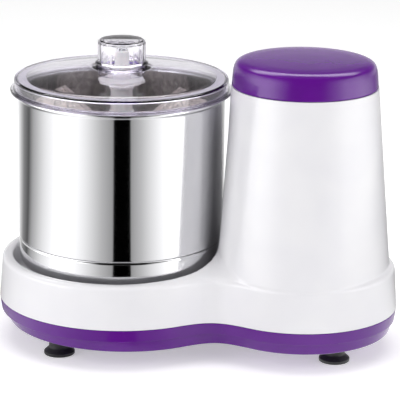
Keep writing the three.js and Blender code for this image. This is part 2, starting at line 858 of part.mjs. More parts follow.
function motorPlate() {
  const shape = new THREE.Shape();
  motorPosts.forEach(([x, y], i) => {
    const reach = new THREE.Vector2(x - shaftSpacing, y);
    reach.setLength(reach.length() + motorPlateMargin);
    if (i === 0) shape.moveTo(shaftSpacing + reach.x, reach.y);
    else shape.lineTo(shaftSpacing + reach.x, reach.y);
  });
  shape.closePath();
  const holes = motorPosts.map(([x, y]) =>
    disc(motorScrewRadius + screwClearance, motorPlateBottom - overrun, motorPlateTop + overrun, screwTurn)
      .translate([x, y, 0]));
  const middle = disc(motorPlateHole, motorPlateBottom - overrun, motorPlateTop + overrun, middleTurn)
    .translate([shaftSpacing, 0, 0]);
  return cut(raised(shape, motorPlateBottom, motorPlateTop), middle, ...holes);
}

// An end cover as a cup that opens at its given end, with a boss round its bearing.
function motorCover(closedEnd, openEnd) {
  const way = Math.sign(openEnd - closedEnd);
  const bore = motorBearingRadius + gap;
  const boss = bore + motorBearingBoss;
  const inside = motorCoverRadius - motorCoverWall;
  return turned([
    [bore, closedEnd],
    [motorCoverRadius, closedEnd],
    [motorCoverRadius, openEnd],
    [inside, openEnd],
    [inside, closedEnd + way * motorCoverWall],
    [boss, closedEnd + way * motorCoverWall],
    [boss, closedEnd + way * motorBossHeight],
    [bore, closedEnd + way * motorBossHeight],
  ], middleTurn).translate([shaftSpacing, 0, 0]);
}

function motorRing(inner, outer, bottom, top, faces = middleTurn) {
  return ring(inner, outer, bottom, top, faces).translate([shaftSpacing, 0, 0]);
}

function motorFan() {
  const bore = motorShaftRadius + gap;
  const wheel = join(
    ring(bore, fanRadius, fanBottom, fanBottom + fanDisc, middleTurn),
    ring(bore, fanHubRadius, fanBottom, fanTop, middleTurn),
  );
  const bladeLength = fanRadius - fanHubRadius;
  const blades = Array.from({ length: fanBlades }, (_, i) =>
    box(bladeLength, fanBladeThickness, fanBladeHeight + fanDisc / 2,
      fanHubRadius + bladeLength / 2 - gap, 0, fanTop - (fanBladeHeight + fanDisc / 2) / 2)
      .rotate([0, 0, 360 * i / fanBlades]));
  return join(wheel, ...blades).translate([shaftSpacing, 0, 0]);
}

function motorPulley() {
  const bore = motorShaftRadius + gap;
  return turned([
    [bore, pulleyBottom],
    ...beltFace(motorPulleyRadius),
    [bore, pulleyBottom + pulleyHeight],
  ], middleTurn).translate([shaftSpacing, 0, 0]);
}

// A pan-head screw with its head's seat at z = 0 and its shank downwards.
function screw(radius, length, headRadius, headHeight) {
  return turned([
    [0, -length],
    [radius, -length],
    [radius, 0],
    [headRadius, 0],
    [headRadius, headHeight / 2],
    [headRadius / 2, headHeight],
    [0, headHeight],
  ], screwTurn);
}

// Electrical pieces

function capacitor() {
  const bottom = floorTop + gap;
  return disc(capacitorRadius, bottom, bottom + capacitorHeight, middleTurn)
    .translate([shaftSpacing, capacitorY, 0]);
}

function terminalBlock() {
  return box(terminalLength, terminalDepth, terminalHeight,
    shaftSpacing + terminalX, terminalY, floorTop + gap + terminalHeight / 2);
}

// Half the width of the tower lobe at the height of the cord gland.
const glandWall = THREE.MathUtils.lerp(towerLobeRadius, ringTopWidth, glandRise / ringHeight);

function cordGland() {
  const innerFace = glandWall - housingWall - glandClearance;
  const outerFace = glandWall + glandClearance;
  return turned([
    [glandBore, innerFace - glandInnerThickness],
    [glandInnerFlange, innerFace - glandInnerThickness],
    [glandInnerFlange, innerFace],
    [glandNeck, innerFace],
    [glandNeck, outerFace],
    [glandOuterFlange, outerFace],
    [glandOuterFlange, outerFace + glandFlangeThickness],
    [glandBore, outerFace + glandFlangeThickness],
  ], smallTurn).rotate([-90, 0, 0]).translate([shaftSpacing, 0, trayTop + glandRise]);
}

const bezelBack = switchPadStand + gap;
const rockerPivot = bezelBack + bezelThickness / 2;

function switchHousing() {
  const body = box(switchBodyWidth, switchBodyDepth, switchBodyHeight, 0, bezelBack - switchBodyDepth / 2, 0);
  const bezel = box(bezelWidth, bezelThickness, bezelHeight, 0, bezelBack + bezelThickness / 2, 0);
  const front = bezelBack + bezelThickness;
  const pocket = box(pocketWidth, pocketDepth + overrun, pocketHeight, 0, front - pocketDepth / 2 + overrun / 2, 0);
  return placed(cut(join(body, bezel), pocket), switchPlace);
}

function switchRocker() {
  const shape = new THREE.Shape();
  shape.moveTo(-rockerHalfHeight, rockerEdgeStand);
  shape.lineTo(-rockerHalfHeight, -rockerKeelHalf / 2);
  shape.lineTo(-rockerKeelHalf, -rockerKeel);
  shape.lineTo(rockerKeelHalf, -rockerKeel);
  shape.lineTo(rockerHalfHeight, -rockerKeelHalf / 2);
  shape.lineTo(rockerHalfHeight, rockerEdgeStand);
  shape.lineTo(0, rockerMiddleStand);
  shape.closePath();
  const width = pocketWidth - 2 * gap;
  return placed(
    raised(shape, -width / 2, width / 2)
      .rotate([0, 90, 0])
      .rotate([rockerRest, 0, 0])
      .translate([0, rockerPivot, 0]),
    switchPlace,
  );
}

// Drum

function drum() {
  const corner = drumRadius - drumCorner;
  const innerCorner = drumCorner - drumWall;
  const groove = drumBottom + grooveRise;
  return turned([
    [drumHoleRadius, drumBottom],
    ...rounded(corner, drumBottom + drumCorner, drumCorner, -90, 0),
    [drumRadius, groove - grooveDepth],
    [drumRadius - grooveDepth, groove],
    [drumRadius, groove + grooveDepth],
    [drumRadius, drumRim - beadHeight],
    [drumRadius + beadStand, drumRim - beadHeight / 2],
    [drumRadius + beadStand / 2, drumRim],
    [drumBore, drumRim],
    ...rounded(corner, drumBottom + drumCorner, innerCorner, 0, -90),
    [drumHoleRadius, drumFloorTop],
  ], bigTurn);
}

// Height of a roller's underside at a distance from the drum axis, along its axle.
const stoneUnderside = (radius) => axleHeight - radius - grindingGap;

function baseStone() {
  const outer = drumBore - baseStoneClearance;
  const corner = drumRadius - drumCorner;
  const bottom = drumFloorTop + baseStoneClearance;
  const bore = tubeRadius + baseStoneClearance;
  const recess = tubeFlangeRadius + baseStoneClearance;
  const recessTop = bottom + tubeFlangeThickness + baseStoneClearance;
  const lip = stoneUnderside(stoneShoulderRadius) + baseStoneLip;
  const crown = stoneUnderside(stoneInnerRadius) + baseStoneCrownRise;
  const hollowOuter = corner - baseStoneFoot;
  const hollowTop = bottom + baseStoneHollowDepth;
  return turned([
    [recess, bottom],
    [baseStoneHollowInner, bottom],
    [baseStoneHollowInner, hollowTop],
    [hollowOuter, hollowTop],
    [hollowOuter, bottom],
    ...rounded(corner, drumBottom + drumCorner, outer - corner, -90, 0),
    [outer, lip - baseStoneEdge],
    [outer - baseStoneEdge, lip],
    [stoneOuter, lip],
    [stonePeak, stoneUnderside(stoneRadius)],
    [stoneInner, stoneUnderside(stoneInnerRadius)],
    [baseStoneCrown, crown],
    [bore, crown],
    [bore, recessTop],
    [recess, recessTop],
  ], bigTurn);
}

function drumTube() {
  const bottom = drumFloorTop + gap;
  return turned([
    [tubeBore, bottom],
    [tubeFlangeRadius, bottom],
    [tubeFlangeRadius, bottom + tubeFlangeThickness],
    [tubeRadius, bottom + tubeFlangeThickness],
    [tubeRadius, tubeTop],
    [tubeBore, tubeTop],
  ], smallTurn);
}

function tubeBush() {
  return ring(shaftClearance, tubeRadius, bushBottom, bushTop, smallTurn);
}

// Stone carrier

// Moves a solid that was turned about Z so that it lies along the stones' axle, towards one side.
function alongAxle(piece, side) {
  const heading = 360 * stoneTurnShare + (side > 0 ? 0 : 180);
  return piece.rotate([0, 90, 0]).rotate([0, 0, heading]).translate([0, 0, axleHeight]);
}

function stoneSleeve() {
  const bottom = axleHeight - sleeveBottomDrop;
  const shoulder = axleHeight + sleeveShoulderRise;
  const neckTop = drumRim - sleeveNeckTop;
  const barrel = turned([
    [sleeveBore, bottom],
    [sleeveRadius, bottom],
    [sleeveRadius, shoulder],
    [sleeveNeckRadius, shoulder + sleeveTaper],
    [sleeveNeckRadius, neckTop],
    [sleeveTopRadius, neckTop + (sleeveNeckRadius - sleeveTopRadius)],
    [sleeveTopRadius, sleeveTop],
    [shaftClearance, sleeveTop],
    [shaftClearance, bushTop + gap],
    [sleeveBore, bushTop + gap],
  ], middleTurn);
  const arms = [-1, 1].map((side) => alongAxle(disc(armRadius, sleeveBore + overrun, armEnd, smallTurn), side));
  const sockets = [-1, 1].map((side) => alongAxle(disc(axleBore, axleRoot, armEnd + overrun, smallTurn), side));
  return cut(join(barrel, ...arms), ...sockets);
}

function lockKnob() {
  const bottom = sleeveTop + gap;
  const discBottom = bottom + lockHubHeight;
  const discTop = discBottom + lockDiscThickness;
  return turned([
    [shaftClearance, bottom],
    [lockHubRadius, bottom],
    [lockHubRadius, discBottom],
    [lockDiscRadius, discBottom],
    [lockDiscRadius, discTop],
    [lockStemRadius, discTop],
    [lockStemRadius, discTop + lockStemHeight],
    [shaftClearance, discTop + lockStemHeight],
  ], middleTurn);
}

function rollerStone(side) {
  return alongAxle(turned([
    [stoneBore, stoneInner],
    [stoneInnerRadius - stoneEdge, stoneInner],
    [stoneInnerRadius, stoneInner + stoneEdge / 2],
    [stoneRadius - stoneEdge * 2 / 3, stonePeak - stoneEdge],
    [stoneRadius, stonePeak],
    [stoneRadius - stoneEdge / 2, stonePeak + stoneEdge],
    [stoneShoulderRadius, stoneShoulder],
    [stoneOuterRadius, stoneOuter],
    [stoneBore, stoneOuter],
  ], middleTurn), side);
}

function stoneBush(side) {
  return alongAxle(ring(axleBore, stoneBore - gap, stoneInner + gap, stoneOuter - gap, smallTurn), side);
}

function stoneAxle(side) {
  return alongAxle(disc(axleRadius, axleRoot + gap, axleTip, smallTurn), side);
}

function axleCap(side) {
  const start = stoneOuter + 2 * gap;
  return alongAxle(turned([
    [axleBore, start],
    [axleCapRadius, start],
    [axleCapRadius, axleCapEnd - axleCapEdge],
    [axleCapRadius - axleCapEdge, axleCapEnd],
    [0, axleCapEnd],
    [0, axleTip + gap],
    [axleBore, axleTip + gap],
  ].reverse(), smallTurn), side);
}

// Lid

function lid() {
  const sideTop = lidBottom + lidSideHeight;
  const flangeTopHeight = lidBottom + lidFlangeThickness;
  const shoulderRadius = lidRadius - lidShoulder;
  const domeRadius = shoulderRadius - lidTopRing;
  const domeHeight = (r) => sideTop + lidDome * (1 - (r / domeRadius) ** 2);
  const domeSteps = [1, 0.78, 0.53, lidHole / domeRadius];
  const collarOuter = lidHole + lidCollarWall;
  const insideSteps = [...domeSteps.slice(0, -1), collarOuter / domeRadius].reverse();
  return turned([
    [lidFlangeInner, lidBottom],
    [lidFlangeRadius, lidBottom],
    [lidFlangeRadius, flangeTopHeight],
    [lidRadius, flangeTopHeight + gap],
    ...rounded(shoulderRadius, sideTop - lidShoulder, lidShoulder, 0, 90),
    ...domeSteps.map((share) => [share * domeRadius, domeHeight(share * domeRadius)]),
    [lidHole, lidTop - lidCollarDepth],
    [collarOuter, lidTop - lidCollarDepth],
    ...insideSteps.map((share) => [share * domeRadius, domeHeight(share * domeRadius) - lidWall]),
    [shoulderRadius, sideTop - lidWall],
    [lidRadius - lidWall, sideTop - lidShoulder],
    [lidRadius - lidWall, flangeTopHeight],
    [lidFlangeInner, flangeTopHeight],
  ], bigTurn);
}

// Outline of the knob with its hollow flutes, at a radius and a height.
function flutedOutline(radius, z) {
  const count = knobFlutes * fluteSteps;
  const points = Array.from({ length: count }, (_, i) => {
    const angle = turn * i / count;
    const reach = radius - knobFluteDepth * Math.sin(Math.PI * (i % fluteSteps) / fluteSteps);
    return new THREE.Vector2(reach * Math.cos(angle), reach * Math.sin(angle));
  });
  return { z, points };
}

function lidKnob() {
  const top = knobBottom + knobHeight;
  const body = stacked([
    flutedOutline(knobRadius, knobBottom + knobFlangeThickness / 2),
    flutedOutline(knobRadius, top - knobChamferHeight),
    flutedOutline(knobRadius - knobChamfer, top),
  ]);
  const flange = disc(knobFlangeRadius, knobBottom, knobBottom + knobFlangeThickness, middleTurn);
  const inner = knobRadius - knobWall;
  const hollow = turned([
    [0, knobBottom - overrun],
    [inner, knobBottom - overrun],
    [inner, top - knobChamferHeight - knobWall / 2],
    [inner - knobChamfer, top - knobWall],
    [0, top - knobWall],
  ], middleTurn);
  return cut(join(body, flange), hollow);
}

// Finishes: colour, roughness and metalness

const finishes = {
  whitePlastic: [0xf2f1f3, 0.3, 0],
  purplePlastic: [0x6a2496, 0.25, 0],
  blackRubber: [0x151515, 0.8, 0],
  blackPlastic: [0x1c1c1e, 0.45, 0],
  steel: [0xd2d2d4, 0.12, 1],
  machinedSteel: [0xa9abad, 0.35, 1],
  granite: [0x9b8d88, 0.75, 0],
  whiteNylon: [0xf7f6f4, 0.4, 0],
  clearPlastic: [0xe6e2f0, 0.05, 0],
  aluminium: [0xb9bcc0, 0.4, 1],
  laminations: [0x55585c, 0.5, 1],
  copper: [0xb0602e, 0.4, 1],
  brass: [0xb89a52, 0.35, 1],
};

const materials = Object.fromEntries(Object.entries(finishes).map(([name, [color, roughness, metalness]]) => [
  name,
  new THREE.MeshStandardMaterial({ name, color, roughness, metalness }),
]));
materials.clearPlastic.transparent = true;
materials.clearPlastic.opacity = 0.3;

// Assembly: the group's origin is on the table, under the middle of the object's length

const grinder = new THREE.Group();
grinder.name = "wet_grinder";
grinder.position.x = -(shaftSpacing + towerLobeRadius - drumLobeRadius) / 2;

function place(name, piece, material, x = 0, y = 0, z = 0) {
  const { vertProperties, triVerts } = piece.getMesh();
  const geometry = new THREE.BufferGeometry();
  geometry.setAttribute("position", new THREE.BufferAttribute(vertProperties, 3));
  geometry.setIndex(new THREE.BufferAttribute(triVerts, 1));
  geometry.computeVertexNormals();
  const mesh = new THREE.Mesh(geometry, materials[material]);
  mesh.name = name;
  mesh.position.set(x, y, z);
  grinder.add(mesh);
}

place("base_tray", baseTray(), "purplePlastic");
for (const [name, [x, y]] of Object.entries(feet)) place(name, foot(), "blackRubber", x, y);
place("casing", casing(), "whitePlastic");
place("tower_cap", towerCap(), "purplePlastic");
casingBosses.forEach(([x, y], i) => {
  const piece = screw(casingScrewRadius, casingScrewLength, casingScrewHeadRadius, casingScrewHeadHeight);
  place(`casing_screw_${i + 1}`, piece.rotate([180, 0, 0]), "machinedSteel", x, y, trayBottom - gap);
});

place("centre_shaft", centreShaft(), "steel");
place("shaft_nut", shaftNut(), "machinedSteel");
place("hub_bearing_lower", hubBearing(lowerBearing), "machinedSteel");
place("hub_bearing_upper", hubBearing(upperBearing), "machinedSteel");
place("hub_circlip", hubCirclip(), "machinedSteel");
place("drive_pulley", drivePulley(), "aluminium");
place("drive_coupler", driveCoupler(), "blackPlastic");
place("drive_belt", driveBelt(), "blackRubber");
place("well_seal", wellSeal(), "blackRubber");

place("motor_plate", motorPlate(), "machinedSteel");
motorPosts.forEach(([x, y], i) => {
  const piece = screw(motorScrewRadius, motorScrewLength, motorScrewHeadRadius, motorScrewHeadHeight);
  place(`motor_screw_${i + 1}`, piece, "machinedSteel", x, y, motorPlateTop + gap);
});
const shaftBore = motorShaftRadius + gap;
const rotorRadius = statorBore - rotorClearance;
const lowerMotorBearing = lowerCoverBottom + motorBearingInset;
const upperMotorBearing = upperCoverTop - motorBearingInset - bearingWidth;
place("motor_cover_lower", motorCover(lowerCoverBottom, lowerCoverBottom + motorCoverHeight), "aluminium");
place("motor_cover_upper", motorCover(upperCoverTop, upperCoverTop - motorCoverHeight), "aluminium");
place("motor_stator", motorRing(statorBore, statorRadius, statorBottom, statorTop), "laminations");
place("motor_winding_lower",
  motorRing(windingInner, windingOuter, statorBottom - gap - windingHeight, statorBottom - gap), "copper");
place("motor_winding_upper",
  motorRing(windingInner, windingOuter, statorTop + gap, statorTop + gap + windingHeight), "copper");
place("motor_bearing_lower",
  motorRing(shaftBore, motorBearingRadius, lowerMotorBearing, lowerMotorBearing + bearingWidth, smallTurn),
  "machinedSteel");
place("motor_bearing_upper",
  motorRing(shaftBore, motorBearingRadius, upperMotorBearing, upperMotorBearing + bearingWidth, smallTurn),
  "machinedSteel");
place("motor_shaft",
  disc(motorShaftRadius, pulleyBottom + gap, fanTop, smallTurn).translate([shaftSpacing, 0, 0]), "machinedSteel");
place("motor_rotor", motorRing(shaftBore, rotorRadius, statorBottom, statorTop), "laminations");
place("motor_fan", motorFan(), "blackPlastic");
place("motor_pulley", motorPulley(), "aluminium");

place("capacitor", capacitor(), "aluminium");
place("terminal_block", terminalBlock(), "blackPlastic");
place("cord_gland", cordGland(), "blackRubber");
place("switch_housing", switchHousing(), "blackPlastic");
place("switch_rocker", switchRocker(), "blackPlastic");

place("drum", drum(), "steel");
place("base_stone", baseStone(), "granite");
place("drum_tube", drumTube(), "steel");
place("drum_coupler", drumCoupler(), "blackPlastic");
place("tube_bush", tubeBush(), "whiteNylon");

place("stone_sleeve", stoneSleeve(), "whiteNylon");
place("lock_knob", lockKnob(), "whiteNylon");
for (const [name, side] of [["left", -1], ["right", 1]]) {
  place(`stone_axle_${name}`, stoneAxle(side), "steel");
  place(`stone_bush_${name}`, stoneBush(side), "whiteNylon");
  place(`stone_${name}`, rollerStone(side), "granite");
  place(`axle_cap_${name}`, axleCap(side), "whiteNylon");
}

place("lid", lid(), "clearPlastic");
place("lid_knob", lidKnob(), "clearPlastic");

export default grinder;
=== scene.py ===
# %% [markdown]
# # A table-top wet grinder
# A steel drum with granite stones stands in a white housing, and a tower beside it holds the motor.
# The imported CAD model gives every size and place. This lesson gives each visible piece a smooth surface
# and a real finish, and lights the object as in a plain photo studio.

# %% Load the frame
import math

import bmesh
import bpy
import numpy as np
from mathutils import Matrix, Vector


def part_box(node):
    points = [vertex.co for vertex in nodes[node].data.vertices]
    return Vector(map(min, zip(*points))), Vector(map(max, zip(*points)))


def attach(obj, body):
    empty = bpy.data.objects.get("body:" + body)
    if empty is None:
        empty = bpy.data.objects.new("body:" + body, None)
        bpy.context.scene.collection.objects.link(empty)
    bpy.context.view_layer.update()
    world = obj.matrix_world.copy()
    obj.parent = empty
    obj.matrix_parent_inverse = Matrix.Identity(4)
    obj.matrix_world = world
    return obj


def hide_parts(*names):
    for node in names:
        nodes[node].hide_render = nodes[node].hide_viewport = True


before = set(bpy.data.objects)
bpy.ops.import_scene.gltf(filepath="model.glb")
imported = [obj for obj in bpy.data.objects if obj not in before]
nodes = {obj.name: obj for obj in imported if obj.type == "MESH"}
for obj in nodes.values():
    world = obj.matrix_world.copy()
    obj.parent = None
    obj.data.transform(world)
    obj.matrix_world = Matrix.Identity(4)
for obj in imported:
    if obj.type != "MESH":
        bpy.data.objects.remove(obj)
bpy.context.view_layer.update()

print("CAD nodes:", len(nodes))

# %% [markdown]
# ## Sizes
# All pieces are worked out in millimetres about the drum's axis, as the CAD model is, and one function
# moves them to metres in the model's frame. The drum's axis comes from the CAD shaft's box and the
# tower's axis from the cap's box, so that nothing has to be fitted by eye.

# %% Sizes that many pieces share
def node_box(name):
    """Lowest and highest corner of a CAD node in millimetres."""
    low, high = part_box(name)
    return np.array(low) * 1000, np.array(high) * 1000


shaft_low, shaft_high = node_box("centre_shaft")
cap_low, cap_high = node_box("tower_cap")
drum_low, drum_high = node_box("drum")
DRUM_X, TOWER_X = (shaft_low[0] + shaft_high[0]) / 2, (cap_low[0] + cap_high[0]) / 2
SPACING = TOWER_X - DRUM_X
DRUM_BOTTOM, DRUM_RIM = drum_low[2], drum_high[2]
TRAY_TOP, RING_TOP, TOWER_TOP = 44.0, 88.0, 270.5
DRUM_LOBE, TOWER_LOBE, WAIST = 124.2, 98.0, 50.0
GAP = 0.3
print("axes at", round(DRUM_X, 2), round(TOWER_X, 2), "rim", round(DRUM_RIM, 2))

# %% [markdown]
# ## The camera
# The photograph was taken with a long lens from slightly above and a little to the right. Its place was
# solved from the rims, which are true circles, so the render's frame matches the photograph's.

# %% Camera
def into_scene(name, data):
    """A new object at the origin, linked to the scene."""
    made = bpy.data.objects.new(name, data)
    bpy.context.scene.collection.objects.link(made)
    return made


CAMERA_PLACE = (0.3441, -2.1621, 0.7767)
TURNED, LOOKS_DOWN, ROLLED = math.radians(9), 0.2803, 0.0123
camera_data = bpy.data.cameras.new("camera")
camera_data.lens, camera_data.sensor_width, camera_data.clip_end = 202.49, 36, 50
camera = into_scene("camera", camera_data)
camera.matrix_world = (Matrix.Translation(CAMERA_PLACE) @ Matrix.Rotation(TURNED, 4, "Z")
                       @ Matrix.Rotation(math.pi / 2 - LOOKS_DOWN, 4, "X") @ Matrix.Rotation(ROLLED, 4, "Z"))
bpy.context.scene.camera = camera
print("camera looks down by", round(math.degrees(LOOKS_DOWN), 1), "degrees")

# %% [markdown]
# ## Surfaces from numpy
# Most pieces here are turned on a lathe, moulded round an outline or fluted, so one grid of points serves
# them all: a profile of radius and height is carried round the axis, and each grid cell becomes a face.
# Corners are rounded first, because a real moulding never has a sharp edge and the small radius catches
# the light.

# %% Meshes from grids
def to_frame(points):
    """Millimetres about the drum's axis to metres in the model's frame."""
    moved = np.array(points, float).reshape(-1, 3)
    moved[:, 0] += DRUM_X
    return moved / 1000


def grid_faces(rows, columns):
    """Faces of a grid that closes on itself along its columns: each cell joins four neighbours."""
    row, column = np.meshgrid(np.arange(rows - 1), np.arange(columns), indexing="ij")
    after = (column + 1) % columns
    corners = [row * columns + column, row * columns + after, (row + 1) * columns + after,
               (row + 1) * columns + column]
    return np.stack(corners, -1).reshape(-1, 4)


def shade(mesh, crisp=38):
    """Smooth shading, but for the edges that turn by more than crisp degrees."""
    mesh.shade_smooth()
    mesh.set_sharp_from_angle(angle=math.radians(crisp))


def make_piece(name, points, faces, crisp=38):
    """An object from points in millimetres and faces: doubles merged and faces outwards."""
    mesh = bpy.data.meshes.new(name)
    mesh.from_pydata(to_frame(points).tolist(), [], [list(map(int, face)) for face in faces])
    shape = bmesh.new()
    shape.from_mesh(mesh)
    bmesh.ops.remove_doubles(shape, verts=shape.verts, dist=1e-6)
    bmesh.ops.recalc_face_normals(shape, faces=shape.faces)
    shape.to_mesh(mesh)
    shape.free()
    shade(mesh, crisp)
    return into_scene(name, mesh)


print("grid of 3 by 4 has", len(grid_faces(3, 4)), "faces")

# %% Profiles and turned parts
def rounded(profile, radii, steps=6):
    """A profile whose corners are arcs: each arc leaves its two straight lines where it touches them,
    and one more point on each line holds the shading flat up to the arc."""
    corners = [np.array(corner, float) for corner in profile]
    result = [corners[0]]
    for before, corner, after, radius in zip(corners, corners[1:], corners[2:], radii):
        into = (before - corner) / np.linalg.norm(before - corner)
        out = (after - corner) / np.linalg.norm(after - corner)
        half = math.acos(np.clip(into @ out, -1, 1)) / 2
        reach = min(radius / math.tan(half), 0.49 * np.linalg.norm(before - corner),
                    0.49 * np.linalg.norm(after - corner))
        if radius <= 0 or half > 1.55:
            result.append(corner)
            continue
        size = reach * math.tan(half)
        middle = (into + out) / np.linalg.norm(into + out)
        centre = corner + middle * size / math.sin(half)
        start = corner + into * reach - centre
        finish = corner + out * reach - centre
        turn = np.linspace(0, 1, steps + 1)[:, None]
        sweep = math.pi - 2 * half
        arc = (np.sin((1 - turn) * sweep) * start + np.sin(turn * sweep) * finish) / math.sin(sweep)
        result.append(corner + into * reach * 1.12)
        result.extend(centre + arc)
        result.append(corner + out * reach * 1.12)
    result.append(corners[-1])
    return np.array(result)


def closed(profile, radii, steps=6):
    """A ring's profile: it ends where it starts, in the middle of its last side."""
    first, last = np.array(profile[0], float), np.array(profile[-1], float)
    seam = (first + last) / 2
    return rounded([seam, *profile, seam], radii, steps)


def lathe(profile, around=96, waves=0):
    """Points and faces of a surface of revolution: each profile point at radius r and height z becomes a
    ring of points (r cos a, r sin a, z). With waves, a third column gives the depth of hollows that meet
    in ridges: the radius is drawn in by the depth times the size of a half sine wave."""
    profile = np.array(profile, float)
    angle = np.linspace(0, 2 * math.pi, around, endpoint=False)
    radius = np.repeat(profile[:, :1], around, axis=1)
    if waves:
        radius = radius - profile[:, 2:] * np.abs(np.sin(angle * waves / 2))
    z = np.repeat(profile[:, 1:2], around, axis=1)
    points = np.stack([radius * np.cos(angle), radius * np.sin(angle), z], -1)
    return points.reshape(-1, 3), grid_faces(len(profile), around)


print("a corner rounded in 6 steps has", len(rounded([(0, 0), (9, 0), (9, 9)], [2])) - 2, "points")

# %% [markdown]
# ## Finishes
# Every finish is a small tree of nodes. A pattern reads Object coordinates, which are metres here, so a
# pattern of 2 mm has a scale of 1000 / 2. One function adds any node with its settings and links.

# %% Helpers for finishes
def srgb(code):
    """An sRGB hex colour as linear red, green, blue and alpha: the curve is a power of 2.4 with a short
    straight start."""
    parts = np.array([int(code[i:i + 2], 16) for i in (0, 2, 4)]) / 255
    linear = np.where(parts <= 0.04045, parts / 12.92, ((parts + 0.055) / 1.055) ** 2.4)
    return (*linear.tolist(), 1.0)


def per_mm(size):
    """The scale that repeats a pattern once in so many millimetres."""
    return 1000 / size


print("violet in linear light:", [round(c, 3) for c in srgb("610F8C")[:3]], "2 mm is a scale of", per_mm(2))

# %% Nodes and materials
def add(tree, kind, inputs=None, links=None, stops=(), **settings):
    """Adds a node, sets its properties and inputs, links its inputs to other nodes' outputs, and gives a
    colour ramp its (place, hex colour) stops."""
    node = tree.nodes.new(kind)
    for key, value in settings.items():
        setattr(node, key, value)
    for key, value in (inputs or {}).items():
        node.inputs[key].default_value = value
    for key, output in (links or {}).items():
        tree.links.new(output, node.inputs[key])
    for number, (place, colour) in enumerate(stops):
        colours = node.color_ramp.elements
        stop = colours[number] if number < len(colours) else colours.new(place)
        stop.position, stop.color = place, srgb(colour)
    return node


def new_finish(name, colour, roughness, metallic=0.0, ior=1.5, more=None):
    """A material with one shader, and its tree and shader to build on."""
    material = bpy.data.materials.new(name)
    material.use_nodes = True
    shader = material.node_tree.nodes["Principled BSDF"]
    sockets = {"Base Color": srgb(colour), "Roughness": roughness, "Metallic": metallic, "IOR": ior}
    for socket, value in {**sockets, **(more or {})}.items():
        shader.inputs[socket].default_value = value
    return material, material.node_tree, shader


def work_surface(tree, shader, gloss=None, relief=None):
    """Lets one pattern vary the roughness, given as (pattern, low, high), and one raise the surface,
    given as (pattern, strength, height in metres)."""
    if gloss:
        spread = add(tree, "ShaderNodeMapRange", {"To Min": gloss[1], "To Max": gloss[2]},
                     {"Value": gloss[0].outputs["Fac"]})
        tree.links.new(spread.outputs["Result"], shader.inputs["Roughness"])
    if relief:
        bump = add(tree, "ShaderNodeBump", {"Strength": relief[1], "Distance": relief[2]},
                   {"Height": relief[0].outputs["Fac"]})
        tree.links.new(bump.outputs["Normal"], shader.inputs["Normal"])


print("helpers: add a node, start a finish, work its surface")

# %% [markdown]
# ### Moulded ABS
# Housing, tray and cap are injection-moulded ABS from a polished tool: a clean gloss, with the very
# slight waviness that thick mouldings have where they shrink. A wide, weak noise in the bump gives
# that waviness, and a second noise varies the gloss a little.

# %% Moulded ABS
def moulded(name, colour, other, roughness, wave=0.03, ior=1.53, more=None):
    """Polished moulded plastic: colour drifts slightly to a second colour over 40 mm, gloss varies
    over 9 mm, and the surface waves over 30 mm."""
    material, tree, shader = new_finish(name, colour, roughness, ior=ior, more=more)
    place = {"Vector": add(tree, "ShaderNodeTexCoord").outputs["Object"]}
    wide = add(tree, "ShaderNodeTexNoise", {"Scale": per_mm(40), "Detail": 1.0}, place)
    drift = add(tree, "ShaderNodeValToRGB", links={"Fac": wide.outputs["Fac"]},
                stops=[(0.35, colour), (0.65, other)])
    tree.links.new(drift.outputs["Color"], shader.inputs["Base Color"])
    fine = add(tree, "ShaderNodeTexNoise", {"Scale": per_mm(9), "Detail": 3.0}, place)
    swell = add(tree, "ShaderNodeTexNoise", {"Scale": per_mm(30), "Detail": 0.0}, place)
    work_surface(tree, shader, (fine, roughness * 0.85, roughness * 1.2), (swell, wave, 0.002))
    return material


white_abs = moulded("white_moulded_abs", "F3F2F5", "F0EFF3", 0.22)
violet_abs = moulded("violet_moulded_abs", "610F8C", "5C0E86", 0.2, more={"Specular IOR Level": 0.4})
nylon = moulded("white_moulded_nylon", "FBFAF8", "F6F5F2", 0.38,
                more={"Subsurface Weight": 0.08, "Subsurface Scale": 0.003})
print("plastics:", white_abs.name, violet_abs.name, nylon.name)

# %% [markdown]
# ### Steel and other metals
# The drum is deep-drawn stainless steel, spun and polished almost to a mirror. Polishing leaves very
# fine rings round the drum, so a noise that is squeezed along the height gives the bump and the gloss.
# The shaft and screws are turned and duller. A metal keeps the default IOR.

# %% Metals
def ringed(name, colour, roughness, spacing, strength, squeeze=(1, 1, 60)):
    """Turned or polished metal: noise squeezed along the axis gives fine rings at the given spacing."""
    material, tree, shader = new_finish(name, colour, roughness, metallic=1.0)
    place = add(tree, "ShaderNodeTexCoord").outputs["Object"]
    squeezed = add(tree, "ShaderNodeMapping", {"Scale": squeeze}, {"Vector": place})
    rings = add(tree, "ShaderNodeTexNoise", {"Scale": per_mm(spacing) / max(squeeze), "Detail": 3.0},
                {"Vector": squeezed.outputs["Vector"]})
    work_surface(tree, shader, (rings, roughness * 0.7, roughness * 1.35), (rings, strength, 0.0004))
    return material


polished_steel = ringed("polished_stainless_steel", "DDDDDF", 0.07, 1.2, 0.02)
turned_steel = ringed("turned_steel", "C4C5C8", 0.3, 0.8, 0.15)
zinc_screw = ringed("zinc_plated_steel", "AEB0B4", 0.35, 0.6, 0.1)
cast_aluminium = ringed("cast_aluminium", "B7B9BC", 0.42, 1.5, 0.25, squeeze=(1, 1, 1))
laminated = ringed("laminated_electrical_steel", "6B6E72", 0.45, 1.0, 0.6, squeeze=(0.02, 0.02, 40))
copper_wire = ringed("enamelled_copper_wire", "B5622B", 0.3, 1.2, 0.8, squeeze=(0.05, 0.05, 40))
print("metals:", polished_steel.name, turned_steel.name, laminated.name)

# %% [markdown]
# ### Granite
# The stones are cut and ground granite: dark mica, pink and grey feldspar and pale quartz in grains of
# one to four millimetres. Two Voronoi patterns of different grain size choose the mineral, and a fine
# noise roughens the ground face.

